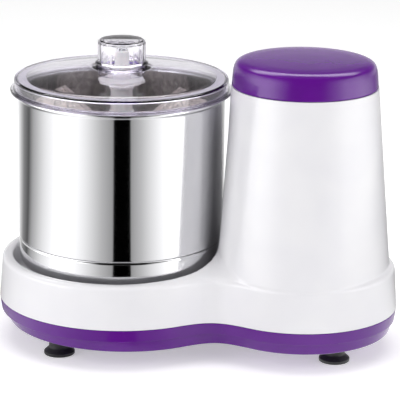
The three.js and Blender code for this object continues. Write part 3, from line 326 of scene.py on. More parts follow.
# %% Granite
material, tree, shader = new_finish("ground_granite", "9A8B86", 0.62, ior=1.54)
granite, place = material, {"Vector": add(tree, "ShaderNodeTexCoord").outputs["Object"]}
grains = add(tree, "ShaderNodeTexVoronoi", {"Scale": per_mm(3.2), "Randomness": 1.0}, place)
minerals = add(tree, "ShaderNodeValToRGB", links={"Fac": grains.outputs["Color"]}, stops=[
    (0.0, "5C5350"), (0.28, "8C817C"), (0.5, "A89F99"), (0.72, "BDAFA8"), (1.0, "DDD7D2")])
flecks = add(tree, "ShaderNodeTexVoronoi", {"Scale": per_mm(1.3)}, place)
dark = add(tree, "ShaderNodeMath", {1: 0.8}, {0: flecks.outputs["Color"]}, operation="GREATER_THAN")
mixed = add(tree, "ShaderNodeMix", {"B": srgb("2E2A2B")},
            {"Factor": dark.outputs["Value"], "A": minerals.outputs["Color"]}, data_type="RGBA")
tree.links.new(mixed.outputs["Result"], shader.inputs["Base Color"])
grit = add(tree, "ShaderNodeTexNoise", {"Scale": per_mm(1.5), "Detail": 4.0}, place)
work_surface(tree, shader, relief=(grit, 0.35, 0.0006))
print("stone:", granite.name)

# %% [markdown]
# ### Rubber and grained black plastic
# Feet, belt and seal are moulded rubber, and the switch is black ABS from a spark-eroded tool. Both
# have a fine grain, which is drawn at about one millimetre so that it shows.

# %% Rubber and grained plastic
def grained(name, colour, other, roughness, grain, strength):
    """A fine moulded grain: noise drives the colour, the gloss and the bump together."""
    material, tree, shader = new_finish(name, colour, roughness)
    place = {"Vector": add(tree, "ShaderNodeTexCoord").outputs["Object"]}
    noise = add(tree, "ShaderNodeTexNoise", {"Scale": per_mm(grain), "Detail": 4.0}, place)
    drift = add(tree, "ShaderNodeValToRGB", links={"Fac": noise.outputs["Fac"]},
                stops=[(0.3, colour), (0.7, other)])
    tree.links.new(drift.outputs["Color"], shader.inputs["Base Color"])
    work_surface(tree, shader, (noise, roughness * 0.85, roughness * 1.15), (noise, strength, 0.0005))
    return material


black_rubber = grained("black_moulded_rubber", "141416", "232326", 0.55, 1.1, 0.25)
black_abs = grained("black_grained_abs", "151517", "1F1F22", 0.42, 0.9, 0.2)
capacitor_can = grained("pressed_capacitor_can", "B9BCC0", "A9ACB0", 0.4, 6.0, 0.05)
print("dark finishes:", black_rubber.name, black_abs.name)

# %% [markdown]
# ### Clear polycarbonate
# Lid and knob are clear moulded polycarbonate with a faint violet tint. The tint is in the plastic's
# depth and takes about a fifth of the green in 12 mm, so a wall looks clear and a rim, which is seen along
# its length, looks violet. It refracts, so each wall is modelled with its real thickness. Light for the
# inside would have to be found by chance through two bends, so rays that carry light pass straight on,
# which lights the stones as under the real lid without grain. A weak haze varies the gloss, as handled
# plastic has it. The seal under the lid's ledge is soft silicone, so it gets a duller and milkier finish.

# %% Clear polycarbonate and silicone
clear_plastic, tree, shader = new_finish("clear_polycarbonate", "FFFFFF", 0.02, ior=1.58,
                                         more={"Transmission Weight": 1.0})
haze = add(tree, "ShaderNodeTexNoise", {"Scale": per_mm(14), "Detail": 2.0},
           {"Vector": add(tree, "ShaderNodeTexCoord").outputs["Object"]})
work_surface(tree, shader, (haze, 0.01, 0.04))
path = add(tree, "ShaderNodeLightPath")
carries_light = add(tree, "ShaderNodeMath", operation="MAXIMUM",
                    links={0: path.outputs["Is Shadow Ray"], 1: path.outputs["Is Diffuse Ray"]})
passing = add(tree, "ShaderNodeBsdfTransparent", {"Color": (1, 1, 1, 1)})
either = add(tree, "ShaderNodeMixShader",
             links={0: carries_light.outputs[0], 1: shader.outputs[0], 2: passing.outputs[0]})
tree.links.new(either.outputs[0], tree.nodes["Material Output"].inputs["Surface"])
depth_tint = add(tree, "ShaderNodeVolumeAbsorption", {"Color": srgb("8C00E2"), "Density": 18.0})
tree.links.new(depth_tint.outputs[0], tree.nodes["Material Output"].inputs["Volume"])
silicone = moulded("clear_set_silicone", "EDEAF2", "E6E3EC", 0.45, wave=0.02, ior=1.41)
print("lid finishes:", clear_plastic.name, silicone.name)

# %% Put pieces on their bodies
def finish_piece(piece, body, material, *stands_for, slot=None):
    """Gives a piece its finish, lets it ride on its body and stand for CAD nodes."""
    piece.data.materials.clear()
    piece.data.materials.append(material)
    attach(piece, body)
    if stands_for:
        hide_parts(*stands_for)
    print(f"{piece.name}: {len(piece.data.polygons)} faces")


def show(name, part, body, material, *stands_for, slot, crisp=38):
    """Makes a finished piece from the points and faces of a part."""
    finish_piece(make_piece(name, *part, crisp), body, material, *stands_for, slot=slot)


print("helpers: finish a piece, show a part")

# %% [markdown]
# ## The housing's outline
# Seen from above, the housing is a circle round the drum and an ellipse round the tower, drawn together
# in a soft waist. A signed distance says how far a point is outside a shape. The smaller of two
# distances joins two shapes, and a smooth smaller value rounds the joint.

# %% Signed distances
def soft_min(a, b, k):
    """The smaller of a and b, lowered by k/4 where they are equal and by nothing where they differ by
    more than k."""
    near = np.maximum(k - np.abs(a - b), 0) / k
    return np.minimum(a, b) - near * near * k / 4


def soft_max(a, b, k):
    """The larger of a and b, raised in the same way."""
    return -soft_min(-a, -b, k)


def outline_distance(x, y, drum_r, drum_x, length, width, blend):
    """Distance to the outline: circle and ellipse joined by the soft smaller value."""
    to_drum = np.hypot(x - drum_x, y) - drum_r
    reach = np.sqrt(((x - SPACING) / length) ** 2 + (y / width) ** 2)
    return soft_min(to_drum, (reach - 1) * np.minimum(length, width), blend)


print("soft smaller value of 0 and 0:", soft_min(0.0, 0.0, WAIST))

# %% Points of the outline
RAY_X = 0.65 * SPACING


def outline_points(insets, around=360):
    """Points of the outline at several insets: along each ray from between the two axes, the place
    where the distance is zero is closed in on by halving."""
    angle = np.linspace(0, 2 * math.pi, around, endpoint=False)[None, :]
    inset = np.array(insets, float)[:, None]
    low, high = np.zeros((len(insets), around)), np.full((len(insets), around), 2 * SPACING)
    for _ in range(44):
        middle = (low + high) / 2
        x, y = RAY_X + middle * np.cos(angle), middle * np.sin(angle)
        outside = outline_distance(x, y, DRUM_LOBE - inset, np.maximum(0, inset - 3), TOWER_LOBE - inset,
                                   TOWER_LOBE - inset, WAIST) > 0
        high = np.where(outside, middle, high)
        low = np.where(outside, low, middle)
    return RAY_X + low * np.cos(angle), low * np.sin(angle)


print("outline reaches x =", np.round(outline_points([0.0])[0].max(), 1))

# %% [markdown]
# ## Parts and openings
# Many pieces are turned rods and rings, or several of them joined. They are kept as plain arrays of points
# and faces until the last moment, because arrays are easy to move, join and use as cutters.

# %% Parts without a mesh yet
def rod(radius, low, high, edge=0.4, around=48):
    """A plain turned rod with softened edges."""
    return lathe(rounded([(0, low), (radius, low), (radius, high), (0, high)], [edge, edge], 3), around)


def at(part, x=0.0, y=0.0, z=0.0):
    """A part moved to a place."""
    return part[0] + np.array([x, y, z]), part[1]


def lying(part):
    """A part that was turned about Z, laid along Y."""
    points, faces = part
    return np.stack([points[:, 0], points[:, 2], -points[:, 1]], -1), faces


def together(*parts):
    """Several closed parts as one list of points and one of faces."""
    points, faces, count = [], [], 0
    for part_points, part_faces in parts:
        points.append(part_points)
        faces.append(np.asarray(part_faces) + count)
        count += len(part_points)
    return np.concatenate(points), np.concatenate(faces)


def cut_away(piece, cutter_part):
    """Cuts closed parts out of a piece with a boolean, and keeps the result as the piece's mesh."""
    cutter = make_piece("cutter", *cutter_part)
    modifier = piece.modifiers.new("openings", "BOOLEAN")
    modifier.operation, modifier.solver, modifier.object = "DIFFERENCE", "EXACT", cutter
    whole = bpy.data.meshes.new_from_object(piece.evaluated_get(bpy.context.evaluated_depsgraph_get()))
    piece.modifiers.clear()
    piece.data = whole
    bpy.data.objects.remove(cutter)
    shade(whole)


print("rod has", len(rod(5, 0, 10)[1]), "faces")

# %% [markdown]
# ## The casing
# The real casing is one moulding: a band, the ring and well round the drum, and the tower that grows
# out of it with a swooping fillet. The edge where the drum's scoop cuts it is tight round the ring and
# wide beside the tower. Cutting meshes gives hard, broken edges there, so the whole shape is written as
# one signed distance, sampled on a grid, and its zero surface is meshed with surface nets: each grid
# cell that the surface crosses gets one point, and each grid edge that it crosses gets one face. Every
# point is then moved along the distance's slope until it lies exactly on the surface. The wall is
# thinner than a grid cell, so its outside and its inside are two nets, one wall's thickness apart.

# %% The casing as a signed distance
SWOOP_HEIGHTS = RING_TOP + (TOWER_TOP - RING_TOP) * np.array([0, 0.012, 0.028, 0.055, 0.09, 0.15, 0.46, 1])
SWOOP_RADII = DRUM_LOBE * np.array([0.88, 0.78, 0.66, 0.5, 0.36, 0.28, 0.24, 0.2])
SWOOP_BLENDS = WAIST * np.array([1, 0.9, 0.7, 0.45, 0.25, 0.15, 0.1, 0.1])
SCOOP_R, SCOOP_TOP_R, WELL_FLOOR = 110.0, 113.0, 61.0
FOOT_LENGTH, FOOT_WIDTH, TOWER_TOP_R = 89.4, 95.5, 73.4
BAND_DRAFT, BACK_DRAFT, BAND_EDGE, WELL_EDGE = 3.2, 2.4, 5.5, 8.0
WALL = 3.0


def smooth_table(z, heights, values):
    """Values between the table's heights, with a curve through each three neighbours."""
    fine = np.linspace(heights[0], heights[-1], 1600)
    curve = np.interp(fine, heights, values)
    window = np.hanning(41)
    padded = np.pad(curve, 20, mode="edge")
    return np.interp(z, fine, np.convolve(padded, window / window.sum(), mode="valid"))


def body_distance(x, y, z):
    """The casing as a full body: the band with its rounded top, joined to the tower. The joint is soft
    where the tower stands back from the band's side, and vanishes where the two are flush."""
    rise = np.clip((z - TRAY_TOP) / (RING_TOP - TRAY_TOP), 0, 1)
    side = outline_distance(x, y, DRUM_LOBE - BAND_DRAFT * rise, 0.0, TOWER_LOBE - BAND_DRAFT * rise,
                            TOWER_LOBE - BACK_DRAFT * rise, WAIST)
    band = soft_max(side, z - RING_TOP, BAND_EDGE)
    up = np.clip((z - RING_TOP) / (TOWER_TOP - RING_TOP), 0, 1.1)
    lobe_r = smooth_table(z, SWOOP_HEIGHTS, SWOOP_RADII)
    lobe_x = np.maximum(0, DRUM_LOBE - 3 - lobe_r)
    blend = smooth_table(z, SWOOP_HEIGHTS, SWOOP_BLENDS)
    tower = outline_distance(x, y, lobe_r, lobe_x, FOOT_LENGTH + (TOWER_TOP_R - FOOT_LENGTH) * up,
                             FOOT_WIDTH + (TOWER_TOP_R - FOOT_WIDTH) * up, blend)
    return soft_min(band, tower, np.clip((tower - side) / 2, 0.2, 4.0))


def solid_distance(x, y, z):
    """The casing as if it were solid: the body less the drum's scoop. The edge between them is tight round
    the ring and wide beside the tower."""
    scoop_r = SCOOP_R + (SCOOP_TOP_R - SCOOP_R) * (z - WELL_FLOOR) / (TOWER_TOP - WELL_FLOOR)
    scoop = soft_max(np.hypot(x, y) - scoop_r, WELL_FLOOR - z, WELL_EDGE)
    edge = np.interp(z, [RING_TOP, RING_TOP + 6, RING_TOP + 30], [3.0, 4.0, 7.0])
    return soft_max(body_distance(x, y, z), -scoop, edge)


def hollow_distance(x, y, z):
    """The room inside the casing: all that lies deeper under the surface than the wall's thickness."""
    return solid_distance(x, y, z) + WALL


print("depth in the band:", round(float(solid_distance(-122.2, 0.0, 60.0)), 2), "mm")

# %% Surface nets
def steps(*spans):
    """Grid places: each span is (from, to, spacing)."""
    parts = [np.arange(a, b, s) for a, b, s in spans]
    return np.concatenate(parts + [[spans[-1][1]]])


def surface_nets(distance, xs, ys, zs):
    """Points and faces of the zero surface of a distance function on a grid."""
    grid = np.meshgrid(xs, ys, zs, indexing="ij")
    value = distance(*grid)
    inside = value < 0
    shape = np.array(value.shape) - 1
    total = np.zeros((*shape, 3))
    count = np.zeros(shape)
    axes = [xs, ys, zs]
    corner = [slice(None, -1), slice(1, None)]
    for axis in range(3):
        others = [a for a in range(3) if a != axis]
        for p in (0, 1):
            for q in (0, 1):
                low, high = [None] * 3, [None] * 3
                low[axis], high[axis] = corner
                low[others[0]] = high[others[0]] = corner[p]
                low[others[1]] = high[others[1]] = corner[q]
                a, b = value[tuple(low)], value[tuple(high)]
                crossing = (a < 0) != (b < 0)
                share = np.where(crossing, a / np.where(crossing, a - b, 1), 0)
                for i in range(3):
                    start, end = grid[i][tuple(low)], grid[i][tuple(high)]
                    total[..., i] += np.where(crossing, start + share * (end - start), 0)
                count += crossing
    used = count > 0
    index = np.full(shape, -1)
    index[used] = np.arange(used.sum())
    points = total[used] / count[used][:, None]
    faces = []
    for axis in range(3):
        others = [(axis + 1) % 3, (axis + 2) % 3]
        low, high = [slice(1, -1)] * 3, [slice(1, -1)] * 3
        low[axis], high[axis] = corner
        crossing = inside[tuple(low)] != inside[tuple(high)]
        outward = inside[tuple(low)]
        cells = []
        for p, q in ((0, 0), (1, 0), (1, 1), (0, 1)):
            place = [None] * 3
            place[axis] = slice(None)
            place[others[0]] = slice(None, -1) if p == 0 else slice(1, None)
            place[others[1]] = slice(None, -1) if q == 0 else slice(1, None)
            cells.append(index[tuple(place)])
        quads = np.stack(cells, -1)
        faces.append(quads[crossing & outward])
        faces.append(quads[crossing & ~outward][:, ::-1])
    return points, np.concatenate(faces)


print("steps from 0 to 5:", steps((0, 4, 2), (4, 5, 0.5)))

# %% The casing's two nets
def rise_across(distance, points, step):
    """How much the distance rises from a step before each point to a step after it, along x, y and z."""
    return np.stack([distance(*(points + step * e).T) - distance(*(points - step * e).T)
                     for e in np.eye(3)], -1)


def settle(distance, points, rounds=4, reach=1.0, step=0.05):
    """Moves points down the slope of the distance until they lie on its zero surface."""
    for _ in range(rounds):
        here = distance(*points.T)
        slope = rise_across(distance, points, step) / (2 * step)
        size = np.maximum((slope ** 2).sum(1), 0.2)
        move = -(here / size)[:, None] * slope
        length = np.linalg.norm(move, axis=1, keepdims=True)
        points = points + move * np.minimum(1, reach / np.maximum(length, 1e-9))
    return points


casing_xs = steps((-130, 290, 2.4))
casing_ys = steps((-129, 129, 2.4))
casing_zs = steps((38, 56, 3), (56, 66, 1.3), (66, 78, 2.5), (78, 96, 1.3), (96, 130, 2.8), (130, 280, 5))
walls = []
for wall_distance in (solid_distance, hollow_distance):
    net_points, net_faces = surface_nets(wall_distance, casing_xs, casing_ys, casing_zs)
    walls.append((settle(wall_distance, net_points), net_faces))
    print(wall_distance.__name__, "net:", len(net_points), "points,", len(net_faces), "faces")

# %% [markdown]
# The nets run past the casing's lower and upper ends, so two plane cuts trim them to the real length, and
# the rim between the outer and the inner loop is filled, which joins the two walls.

# %% Trim the casing
def trim(piece, height, keep_above):
    """Cuts a piece at a height in millimetres and closes the cut with flat faces."""
    shape = bmesh.new()
    shape.from_mesh(piece.data)
    cut = bmesh.ops.bisect_plane(
        shape, geom=shape.verts[:] + shape.edges[:] + shape.faces[:], plane_co=(0, 0, height / 1000),
        plane_no=(0, 0, 1), clear_inner=keep_above, clear_outer=not keep_above)
    edges = [e for e in cut["geom_cut"] if isinstance(e, bmesh.types.BMEdge)]
    bmesh.ops.triangle_fill(shape, edges=edges, use_beauty=True, use_dissolve=False)
    bmesh.ops.recalc_face_normals(shape, faces=shape.faces)
    shape.to_mesh(piece.data)
    shape.free()
    shade(piece.data)


def shade_by_slope(piece, distance):
    """Gives every corner the slope of the distance as its normal, turned over on the inside, so that gloss
    runs as evenly as on the real moulding. Rims of cuts stand across the slope and keep their own."""
    mesh = piece.data
    place = np.empty(len(mesh.vertices) * 3)
    mesh.vertices.foreach_get("co", place)
    slope = rise_across(distance, place.reshape(-1, 3) * 1000 - [DRUM_X, 0, 0], 0.15)
    slope /= np.maximum(np.linalg.norm(slope, axis=1, keepdims=True), 1e-9)
    corner = np.empty(len(mesh.loops), int)
    mesh.loops.foreach_get("vertex_index", corner)
    flat = np.empty(len(mesh.polygons) * 3)
    mesh.polygons.foreach_get("normal", flat)
    size = np.empty(len(mesh.polygons), int)
    mesh.polygons.foreach_get("loop_total", size)
    flat = np.repeat(flat.reshape(-1, 3), size, axis=0)
    normal = slope[corner]
    facing = (normal * flat).sum(1)
    normal = np.where(np.abs(facing)[:, None] < 0.5, flat, normal * np.sign(facing)[:, None])
    mesh.normals_split_custom_set(normal.tolist())


casing = make_piece("casing_shell", *together(*walls))
print("casing before the cuts:", len(casing.data.vertices), "points")

# %% Cut and finish the casing
trim(casing, TRAY_TOP + GAP, True)
trim(casing, TOWER_TOP, False)
GLAND_Z, GLAND_HOLE_R, WELL_HOLE_R = 62, 6.9, 38
well_hole = rod(WELL_HOLE_R, WELL_FLOOR - 6, WELL_FLOOR + WALL, 0, 128)
gland_hole = at(lying(rod(GLAND_HOLE_R, 80, 110, 0)), SPACING, 0, GLAND_Z)
cut_away(casing, together(well_hole, gland_hole))
shade_by_slope(casing, solid_distance)
finish_piece(casing, "base", white_abs, "casing", slot="white_plastic")

# %% [markdown]
# ## The base tray
# The violet tray under the casing is a shallow moulding with a small step round its side, as wide at
# the top as the casing. Its wall is the outline carried through a profile of insets and heights. The
# holes for feet, screws, shaft and vents are cut with one boolean, because they are simple and flat.

# %% The base tray
TRAY_BOTTOM, TRAY_FLOOR = 20.0, 23.0
FEET = [(-48.5, -74.8), (-48.5, 74.8), (SPACING + 40.8, -42.5), (SPACING + 40.8, 42.5)]
BOSSES = [(-71.0, 71.0, 59.0), (52.0, 90.0, 59.0), (SPACING + 61.6, 51.8, 126.0)]
BOSSES = [(x, side * y, top) for x, y, top in BOSSES for side in (-1, 1)]
POSTS = [(SPACING - 34.9, -45.9), (SPACING + 54.1, -20.0), (SPACING + 54.1, 20.0), (SPACING - 34.9, 45.9)]


def tray_shell(profile):
    """The outline carried through rows of (inset, height); the first and last row shrink to a point, so
    the floor closes."""
    x, y = outline_points(profile[:, 0])
    z = np.repeat(profile[:, 1:], x.shape[1], axis=1)
    share = np.ones(len(profile))[:, None]
    share[[0, -1]] = 0
    points = np.stack([RAY_X + (x - RAY_X) * share, y * share, z], -1)
    return points.reshape(-1, 3), grid_faces(*x.shape)


tray_profile = rounded(
    [(14, TRAY_BOTTOM), (6.8, TRAY_BOTTOM), (3.7, 31.3), (1.8, 31.7), (0, TRAY_TOP), (3, TRAY_TOP),
     (6.4, 32), (9.8, TRAY_FLOOR), (14, TRAY_FLOOR)], [2.4, 0.7, 0.6, 0.5, 0.5, 2, 1.5], 5)
tray_profile = np.concatenate([tray_profile[:1], tray_profile, tray_profile[-1:]])
base_tray = make_piece("base_tray_moulding", *tray_shell(tray_profile))
FOOT_HOLE_R, SCREW_HOLE_R, SHAFT_HOLE_R, VENT_R, VENT_START, VENT_LENGTH, VENTS = 5.3, 2.2, 6.3, 2, 22, 12, 8
below, above = TRAY_BOTTOM - 2, TRAY_FLOOR + 3
holes = [at(rod(FOOT_HOLE_R, below, above, 0), x, y) for x, y in FEET]
holes += [at(rod(SCREW_HOLE_R, below, above, 0, 24), x, y) for x, y, _ in BOSSES]
holes += [rod(SHAFT_HOLE_R, below, above + 4, 0)]
vent_points, vent_faces = rod(VENT_R, below, above, 0, 32)
vent_points = vent_points + (vent_points[:, :1] > 0) * np.array([VENT_LENGTH, 0, 0]) + [VENT_START, 0, 0]
for i in range(VENTS):
    turn = Matrix.Rotation(i * 2 * math.pi / VENTS, 3, "Z")
    holes.append((vent_points @ np.array(turn).T + [SPACING, 0, 0], vent_faces))
cut_away(base_tray, together(*holes))
finish_piece(base_tray, "base", violet_abs, "base_tray", slot="purple_plastic")

# %% Pads, posts and cups inside the housing
shaft_pad = lathe(closed([(6.3, 22.5), (30, 22.5), (30, 25), (6.3, 25)], [0, 0, 0.6, 0.3], 3))
capacitor_cup = lathe(closed([(16.3, 22.5), (18.7, 22.5), (18.7, 37), (16.3, 37)], [0, 0, 0.6, 0.6], 3))
post_ring = lathe(closed([(2.5, 22.5), (6, 22.5), (6, 49.7), (2.5, 49.7)], [0, 0, 0.5, 0.3], 3), 48)
show("tray_pads_and_posts", together(shaft_pad, at(capacitor_cup, SPACING, -71),
                                     *[at(post_ring, x, y) for x, y in POSTS]),
     "base", violet_abs, slot="purple_plastic")

bosses = []
for x, y, top in BOSSES:
    boss_profile = rounded([(0, 46), (2.2, 44), (2.2, 23.3), (6.5, 23.3), (6.5, top), (0, top)],
                           [0, 0.3, 0.4, 0.3], 3)
    bosses.append(at(lathe(boss_profile, 48), x, y))
show("casing_screw_bosses", together(*bosses), "base", white_abs, slot="white_plastic")

# %% [markdown]
# ## Feet and cap
# The feet are rubber cones that flare at the floor. The cap is a turned violet moulding whose edge rolls
# over into a nearly flat top. A smooth curve through a few given points gives that roll, because
# an arc alone would look too mechanical.

# %% Feet
foot_profile = rounded([(0, 0), (15.5, 0), (15.5, 3.2), (10.6, 7.5), (10, 19.7), (5, 19.7), (5, 23), (0, 23)],
                       [0.9, 0.9, 3.0, 0.4, 0.3, 0.4], 5)
for name, (x, y) in zip(("front_left", "rear_left", "front_right", "rear_right"), FEET):
    show("rubber_foot_" + name, at(lathe(foot_profile), x, y), "base", black_rubber, "foot_" + name,
         slot="black_rubber")

# %% The tower's cap
def smooth_curve(points, samples=8):
    """A curve through all points: each stretch is a cubic whose slopes follow its neighbours."""
    points = np.array(points, float)
    ends = np.vstack([2 * points[0] - points[1], points, 2 * points[-1] - points[-2]])
    t = np.linspace(0, 1, samples, endpoint=False)[None, :, None]
    a, b, c, d = (ends[i:len(ends) - 3 + i, None] for i in range(4))
    curve = 0.5 * (2 * b + (c - a) * t + (2 * a - 5 * b + 4 * c - d) * t ** 2
                   + (3 * b - a - 3 * c + d) * t ** 3)
    return np.vstack([curve.reshape(-1, 2), points[-1:]])


CAP_R, CAP_SEAT, CAP_TOP = 72.8, TOWER_TOP + GAP, cap_high[2]
CAP_HEIGHT = CAP_TOP - CAP_SEAT
cap_shares = [(1, 0.03), (0.993, 0.25), (0.986, 0.47), (0.972, 0.68), (0.94, 0.84), (0.87, 0.93),
              (0.74, 0.965), (0.6, 0.98), (0.3, 0.995), (0.0, 1.0)]
cap_curve = smooth_curve([(r * CAP_R, CAP_SEAT + h * CAP_HEIGHT) for r, h in cap_shares])[::-1]
cap_curve[0, 0] = 0
cap_inside = [(68.4, CAP_SEAT), (68.4, CAP_SEAT - 8), (65.8, CAP_SEAT - 8), (65.0, CAP_SEAT + 12),
              (60, CAP_SEAT + 20), (40, CAP_TOP - 4), (0, CAP_TOP - 3)]
cap_profile = np.vstack([cap_curve, [(CAP_R - 0.5, CAP_SEAT)], cap_inside])
show("tower_cap_moulding", at(lathe(cap_profile, 192), SPACING), "base", violet_abs, "tower_cap",
     slot="purple_plastic")

# %% [markdown]
# ## The switch
# The rocker switch sits on the back of the tower in a raised pad. Its bezel and pad are rounded
# rectangles that change size from row to row, so one function lofts them; the rocker is a long outline
# pulled across its width. All are made flat and then leaned onto the sloping wall.

# %% Lofted rounded rectangles
SWITCH_Z, ROCKER_REST = 150.0, math.radians(8)
# The tower's back wall stands this far back at the ring's top, and leans in by this much over this height.
WALL_FOOT, WALL_RUN, WALL_RISE = 95.2, 21.8, 182.5
WALL_LEAN = math.atan2(WALL_RUN, WALL_RISE)
SWITCH_Y = WALL_FOOT - WALL_RUN * (SWITCH_Z - RING_TOP) / WALL_RISE
SWITCH_PLACE = np.array(Matrix.Translation((SPACING, SWITCH_Y, SWITCH_Z)) @ Matrix.Rotation(WALL_LEAN, 4, "X"))


def on_switch(part):
    """Moves a part from the switch's own frame, x across, y outwards and z up, onto the wall."""
    return part[0] @ SWITCH_PLACE[:3, :3].T + SWITCH_PLACE[:3, 3], part[1]


def rectangle_loft(rows, around=96):
    """Rows of (half width, half height, corner radius, y): each row is a rounded rectangle, whose points
    are those of a circle of the corner's radius pushed out to the four corners."""
    angle = (np.arange(around) + 0.5) / around * 2 * math.pi
    corner_x, corner_z = np.sign(np.cos(angle)), np.sign(np.sin(angle))
    points = []
    for half_x, half_z, corner, y in rows:
        x = corner_x * max(half_x - corner, 0) + corner * np.cos(angle)
        z = corner_z * max(half_z - corner, 0) + corner * np.sin(angle)
        points.append(np.stack([x, np.full_like(x, y), z], -1))
    return np.array(points).reshape(-1, 3), grid_faces(len(rows), around)


print("switch leans by", round(math.degrees(WALL_LEAN), 1), "degrees")

# %% Switch pad and bezel
pad_rows = [(14.3, 10.3, 1, -2.4), (20.5, 15.5, 3, -2.4), (21, 16, 3, 0.3), (20.8, 15.8, 2.8, 0.8),
            (20.2, 15.2, 2.4, 1), (14.8, 10.8, 1, 1), (14.3, 10.3, 1, 0.6), (14.3, 10.3, 1, -2.4)]
show("switch_pad", on_switch(rectangle_loft(pad_rows)), "base", white_abs, slot="white_plastic")
housing_rows = [(0, 0, 0, -16.7), (13.2, 9.2, 0.8, -16.7), (13.7, 9.7, 1, -16.2), (13.7, 9.7, 1, 1.3),
                (16.6, 12.6, 2.2, 1.3), (17, 13, 2.4, 1.7), (17, 13, 2.4, 2.5), (16.7, 12.7, 2.1, 3.1),
                (16.1, 12.1, 1.7, 3.3), (11.6, 8.8, 0.8, 3.3), (11.1, 8.3, 0.5, 2.9), (11, 8.2, 0.4, 2.4),
                (11, 8.2, 0.4, -4.7), (0, 0, 0, -4.7)]
show("switch_bezel", on_switch(rectangle_loft(housing_rows)), "base", black_abs, "switch_housing",
     slot="black_plastic")

# %% The rocker
rocker_outline = closed([(-7.2, 3.6), (-7.2, -1.5), (-3, -5.4), (3, -5.4), (7.2, -1.5), (7.2, 3.6), (0, 2.1)],
                        [0.7, 0.6, 0.6, 0.6, 0.6, 0.7, 4], 4)[:-1]
rocker_rows = [(-10.7, 0.0), (-10.7, 0.94), (-10.2, 1.0), (10.2, 1.0), (10.7, 0.94), (10.7, 0.0)]
rocker_points = np.array([[(x, out * share, up * share) for up, out in rocker_outline]
                          for x, share in rocker_rows]).reshape(-1, 3)
rest_turn = np.array(Matrix.Rotation(ROCKER_REST, 3, "X"))
rocker_part = rocker_points @ rest_turn.T + [0, 2.3, 0], grid_faces(len(rocker_rows), len(rocker_outline))
show("rocker_key", on_switch(rocker_part), "rocker", black_abs, "switch_rocker", slot="black_plastic")

# %% The cord gland
gland_profile = closed([(3.2, 87.9), (8.5, 87.9), (8.5, 90.9), (6.6, 90.9), (6.6, 98.3), (9.5, 98.3),
                        (9.2, 100.8), (3.2, 100.8)], [0.3, 0.6, 0.2, 0, 0.2, 0.5, 0.8, 0.8], 4)
gland = lying(lathe(gland_profile, 64))
gland_out = node_box("cord_gland")[1][1] - gland[0][:, 1].max()
show("cord_grommet", at(at(gland, 0, gland_out), SPACING, 0, GLAND_Z), "base", black_rubber, "cord_gland",
     slot="black_rubber")

# %% [markdown]
# ## Shaft, hub and seal
# These are turned parts on the drum's axis. The shaft's top ends in a small dome under the lid's knob.

# %% Shaft and seal
shaft_profile = rounded([(0, 12), (6, 12), (6, 25.3), (24, 25.3), (24, 29), (8, 29), (8, 51), (5, 51),
                         (5, 301), (0, 301)], [0.6, 0.3, 0.6, 0.6, 0.8, 0.5, 0.4, 2.2], 5)
show("turned_centre_shaft", lathe(shaft_profile), "base", turned_steel, "centre_shaft", slot="steel")
seal_profile = closed([(38.6, 61.3), (46, 61.3), (46, 63.1), (41, 65), (38.6, 65)],
                      [0.4, 0.4, 0.8, 0.8, 0.4], 4)
show("well_lip_seal", lathe(seal_profile, 128), "base", black_rubber, "well_seal", slot="black_rubber")

# %% Coupling lugs
def sector(inner, outer, low, high, middle, spread, edge=0.6):
    """A block of a ring: its rounded cross-section is carried through an angle, with both ends closed."""
    section = closed([(inner, low), (outer, low), (outer, high), (inner, high)], [edge] * 4, 3)[:-1]
    centre = section.mean(0)
    angles = np.radians(middle + spread * np.array([-0.5, -0.5, -0.47, -0.25, 0, 0.25, 0.47, 0.5, 0.5]))
    shares = np.array([0, 0.92, 1, 1, 1, 1, 1, 0.92, 0])
    rows = centre + (section - centre) * shares[:, None, None]
    points = np.stack([rows[..., 0] * np.cos(angles)[:, None], rows[..., 0] * np.sin(angles)[:, None],
                       rows[..., 1]], -1)
    return points.reshape(-1, 3), grid_faces(len(angles), len(section))


for name, body, node, inner, outer, low, high, lug_low, lug_high, first in (
        ("hub_dog_coupling", "hub", "drive_coupler", 10.5, 30, 51.3, 55.3, 55, 60, 0),
        ("drum_dog_coupling", "drum_set", "drum_coupler", 9, 36, 60.7, 66.7, 55.6, 61, 60)):
    plate = lathe(closed([(inner, low), (outer, low), (outer, high), (inner, high)], [0.4, 0.8, 0.8, 0.4], 3))
    lugs = [sector(18, 29.7, lug_low, lug_high, first + 120 * i, 50) for i in range(3)]
    show(name, together(plate, *lugs), body, black_abs, node, slot="black_plastic")

# %% [markdown]
# ## The drum
# The drum is one sheet of stainless steel, deep-drawn with a wide corner, rolled outwards at the rim
# and pressed with one fine groove. Its profile is an outer line, a small bead and an inner line a wall's
# thickness inside, turned as a closed ring.

# %% The drum
DRUM_R, DRUM_WALL, CORNER_R, GROOVE_RISE = 104.0, 1.2, 26.0, 40.0
corner_angle = np.linspace(-math.pi / 2, 0, 15)
groove_z = np.linspace(-3.4, 3.4, 15)
bead_angle = np.linspace(math.radians(-72), math.radians(112), 14)


def arc(middle_r, middle_z, radius, angles):
    """Points on an arc, as (radius, height)."""
    return np.stack([middle_r + radius * np.cos(angles), middle_z + radius * np.sin(angles)], -1)


